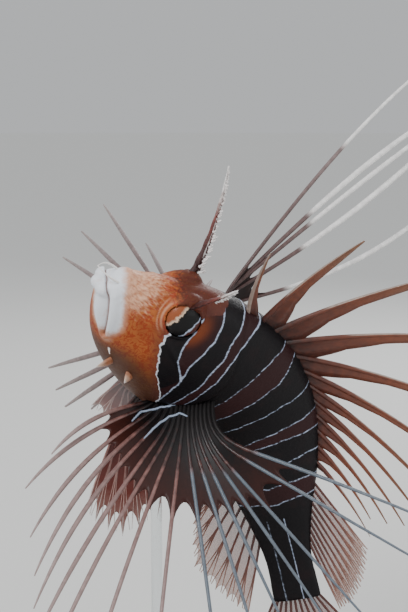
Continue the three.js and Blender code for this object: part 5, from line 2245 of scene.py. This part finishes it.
@dataclass
class Stand:
    """The wooden base and the clear rod that holds the fish."""

    length: float = 0.126
    width: float = 0.096
    thickness: float = 0.012
    corner: float = 0.020
    bevel: float = 0.0015
    rod_radius: float = 0.002
    collar: Triple = (0.0045, 0.0035, 0.005)
    wood: LacqueredWood = field(default_factory=LacqueredWood)
    acrylic: PlainFinish = PlainFinish("clear_cast_acrylic", "#f2f6f7", 0.05, ior=1.49, transmission=0.92)

    def outline(self, inset: float) -> Array:
        """The base's rounded outline, drawn in by an inset.

        Args:
            inset: how far it is drawn in.

        Returns:
            Points round the base.
        """
        turn = np.linspace(0, math.pi / 2, 17)
        x, y = self.length / 2 - self.corner, self.width / 2 - self.corner
        r = self.corner - inset
        corners = [((x, y), 0), ((-x, y), 1), ((-x, -y), 2), ((x, -y), 3)]
        return np.array([(cx + r * math.cos(a + k * math.pi / 2), cy + r * math.sin(a + k * math.pi / 2))
                         for (cx, cy), k in corners for a in turn])

    def build(self) -> None:
        """Makes the base and the rod."""
        turn = np.linspace(0, math.pi / 2, 6)
        rows = [(self.bevel * (1 - math.sin(a)), self.bevel * (1 - math.cos(a))) for a in turn]
        heights = rows + [(inset, self.thickness - z) for inset, z in reversed(rows)]
        rings = np.array([[(*p, z) for p in self.outline(inset)] for inset, z in heights])
        base = loft("wooden_base", rings)
        base.data.set_sharp_from_angle(angle=math.radians(40))
        base.data.materials.append(self.wood.material())
        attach(base, "root")
        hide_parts("stand_base")
        low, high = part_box("stand_rod")
        x, y = (low[0] + high[0]) / 2, (low[1] + high[1]) / 2
        turn = circle(32)
        wide, narrow, tall = self.collar
        rows = ((wide, self.thickness), (narrow, self.thickness + tall),
                (self.rod_radius, self.thickness + tall), (self.rod_radius, high[2]))
        rod = loft("clear_rod", np.array([[(x + r * math.cos(a), y + r * math.sin(a), z) for a in turn]
                                          for r, z in rows]))
        rod.data.set_sharp_from_angle(angle=math.radians(40))
        rod.data.materials.append(self.acrylic.material())
        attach(rod, "root")
        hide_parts("stand_rod")
        report(base, rod)


@dataclass
class Studio:
    """A plain pale floor, soft lights and the camera of the picture."""

    floor_size: float = 60.0
    floor: PlainFinish = PlainFinish("matt_pale_paper", "#d2d2d0", 0.9)
    horizon: str = "#cbcdcf"
    above: str = "#f4f6f8"
    horizon_height: float = 0.05
    above_height: float = 0.6
    world_strength: float = 0.9
    target: Triple = (0.01, 0.02, 0.16)
    # Name, place, size in metres and power in watts.
    lamps: tuple[tuple[str, Triple, float, float], ...] = (
        ("key", (-0.55, -0.75, 0.85), 0.45, 9.0), ("fill", (0.80, -0.60, 0.35), 0.8, 3.0),
        ("rim", (0.45, 0.85, 0.75), 0.5, 6.0))
    sensor_mm: float = 36.0
    clip: Pair = (0.01, 200.0)
    camera_place: Triple = (0.00325, -0.44674, 0.2260)
    camera_down: float = 8.0
    lens: float = 76.47

    def build(self) -> None:
        """Sets the floor, the lights, the world and the camera."""
        half = self.floor_size / 2
        floor = mesh_object("studio_floor", np.array([[-half, -half, 0], [half, -half, 0], [half, half, 0],
                                                      [-half, half, 0]]), [(0, 1, 2, 3)])
        floor.data.materials.append(self.floor.material())
        self.light()
        self.view()

    def light(self) -> None:
        """Sets the soft world and the three lamps."""
        scene = bpy.context.scene
        scene.world = scene.world or bpy.data.worlds.new("studio")
        scene.world.use_nodes = True
        tree = scene.world.node_tree
        way = add_node(tree, "ShaderNodeTexCoord").outputs["Generated"]
        height = add_node(tree, "ShaderNodeSeparateXYZ", None, {0: way}).outputs["Z"]
        share = add_node(tree, "ShaderNodeMapRange", {"interpolation_type": "SMOOTHSTEP"},
                         {0: height, 1: self.horizon_height, 2: self.above_height}).outputs[0]
        shade = add_node(tree, "ShaderNodeMix", {"data_type": "RGBA"},
                         {0: share, 6: linear(self.horizon), 7: linear(self.above)}).outputs[2]
        sky = tree.nodes["Background"]
        sky.inputs["Strength"].default_value = self.world_strength
        tree.links.new(shade, sky.inputs["Color"])
        for name, place, size, power in self.lamps:
            light = bpy.data.lights.new(name, "AREA")
            light.energy = power
            light.size = size
            lamp = bpy.data.objects.new(name, light)
            lamp.location = place
            lamp.rotation_euler = (Vector(self.target) - Vector(place)).to_track_quat("-Z", "Y").to_euler()
            scene.collection.objects.link(lamp)

    def view(self) -> None:
        """Sets the camera where the photograph was taken from."""
        scene = bpy.context.scene
        lens = bpy.data.cameras.new("camera")
        lens.sensor_width = self.sensor_mm
        lens.lens = self.lens
        lens.clip_start, lens.clip_end = self.clip
        camera = bpy.data.objects.new("camera", lens)
        camera.location = self.camera_place
        camera.rotation_euler = (math.radians(90 - self.camera_down), 0.0, 0.0)
        scene.collection.objects.link(camera)
        scene.camera = camera


def main() -> None:
    """Builds every piece in order."""
    logging.basicConfig(level=logging.INFO, format="%(name)s: %(message)s")
    Skin().build()
    Eyes().build()
    FaceFlaps().build()
    BrowTentacles().build()
    for side in Side:
        Pectoral().fin(side).build()
        Pelvic().fin(side).build()
    Pectoral().white_bands()
    MedianFan("soft_dorsal", "soft_dorsal_fin", 10, 0.718, 0.845, True, 63.0, 77.0,
              lambda share: 0.17 + 0.05 * math.sin(math.pi * (0.2 + 0.7 * share))).fin().build()
    MedianFan("anal", "anal_fin", 9, 0.665, 0.835, False, 34.0, 68.0,
              lambda share: 0.10 + 0.28 * share if share < 0.3 else 0.185 + 0.02 * math.sin(math.pi * share)
              ).fin().build()
    TailFan().fin().build()
    DorsalSpines().build()
    Stand().build()
    Studio().build()


if __name__ == "__main__":
    main()
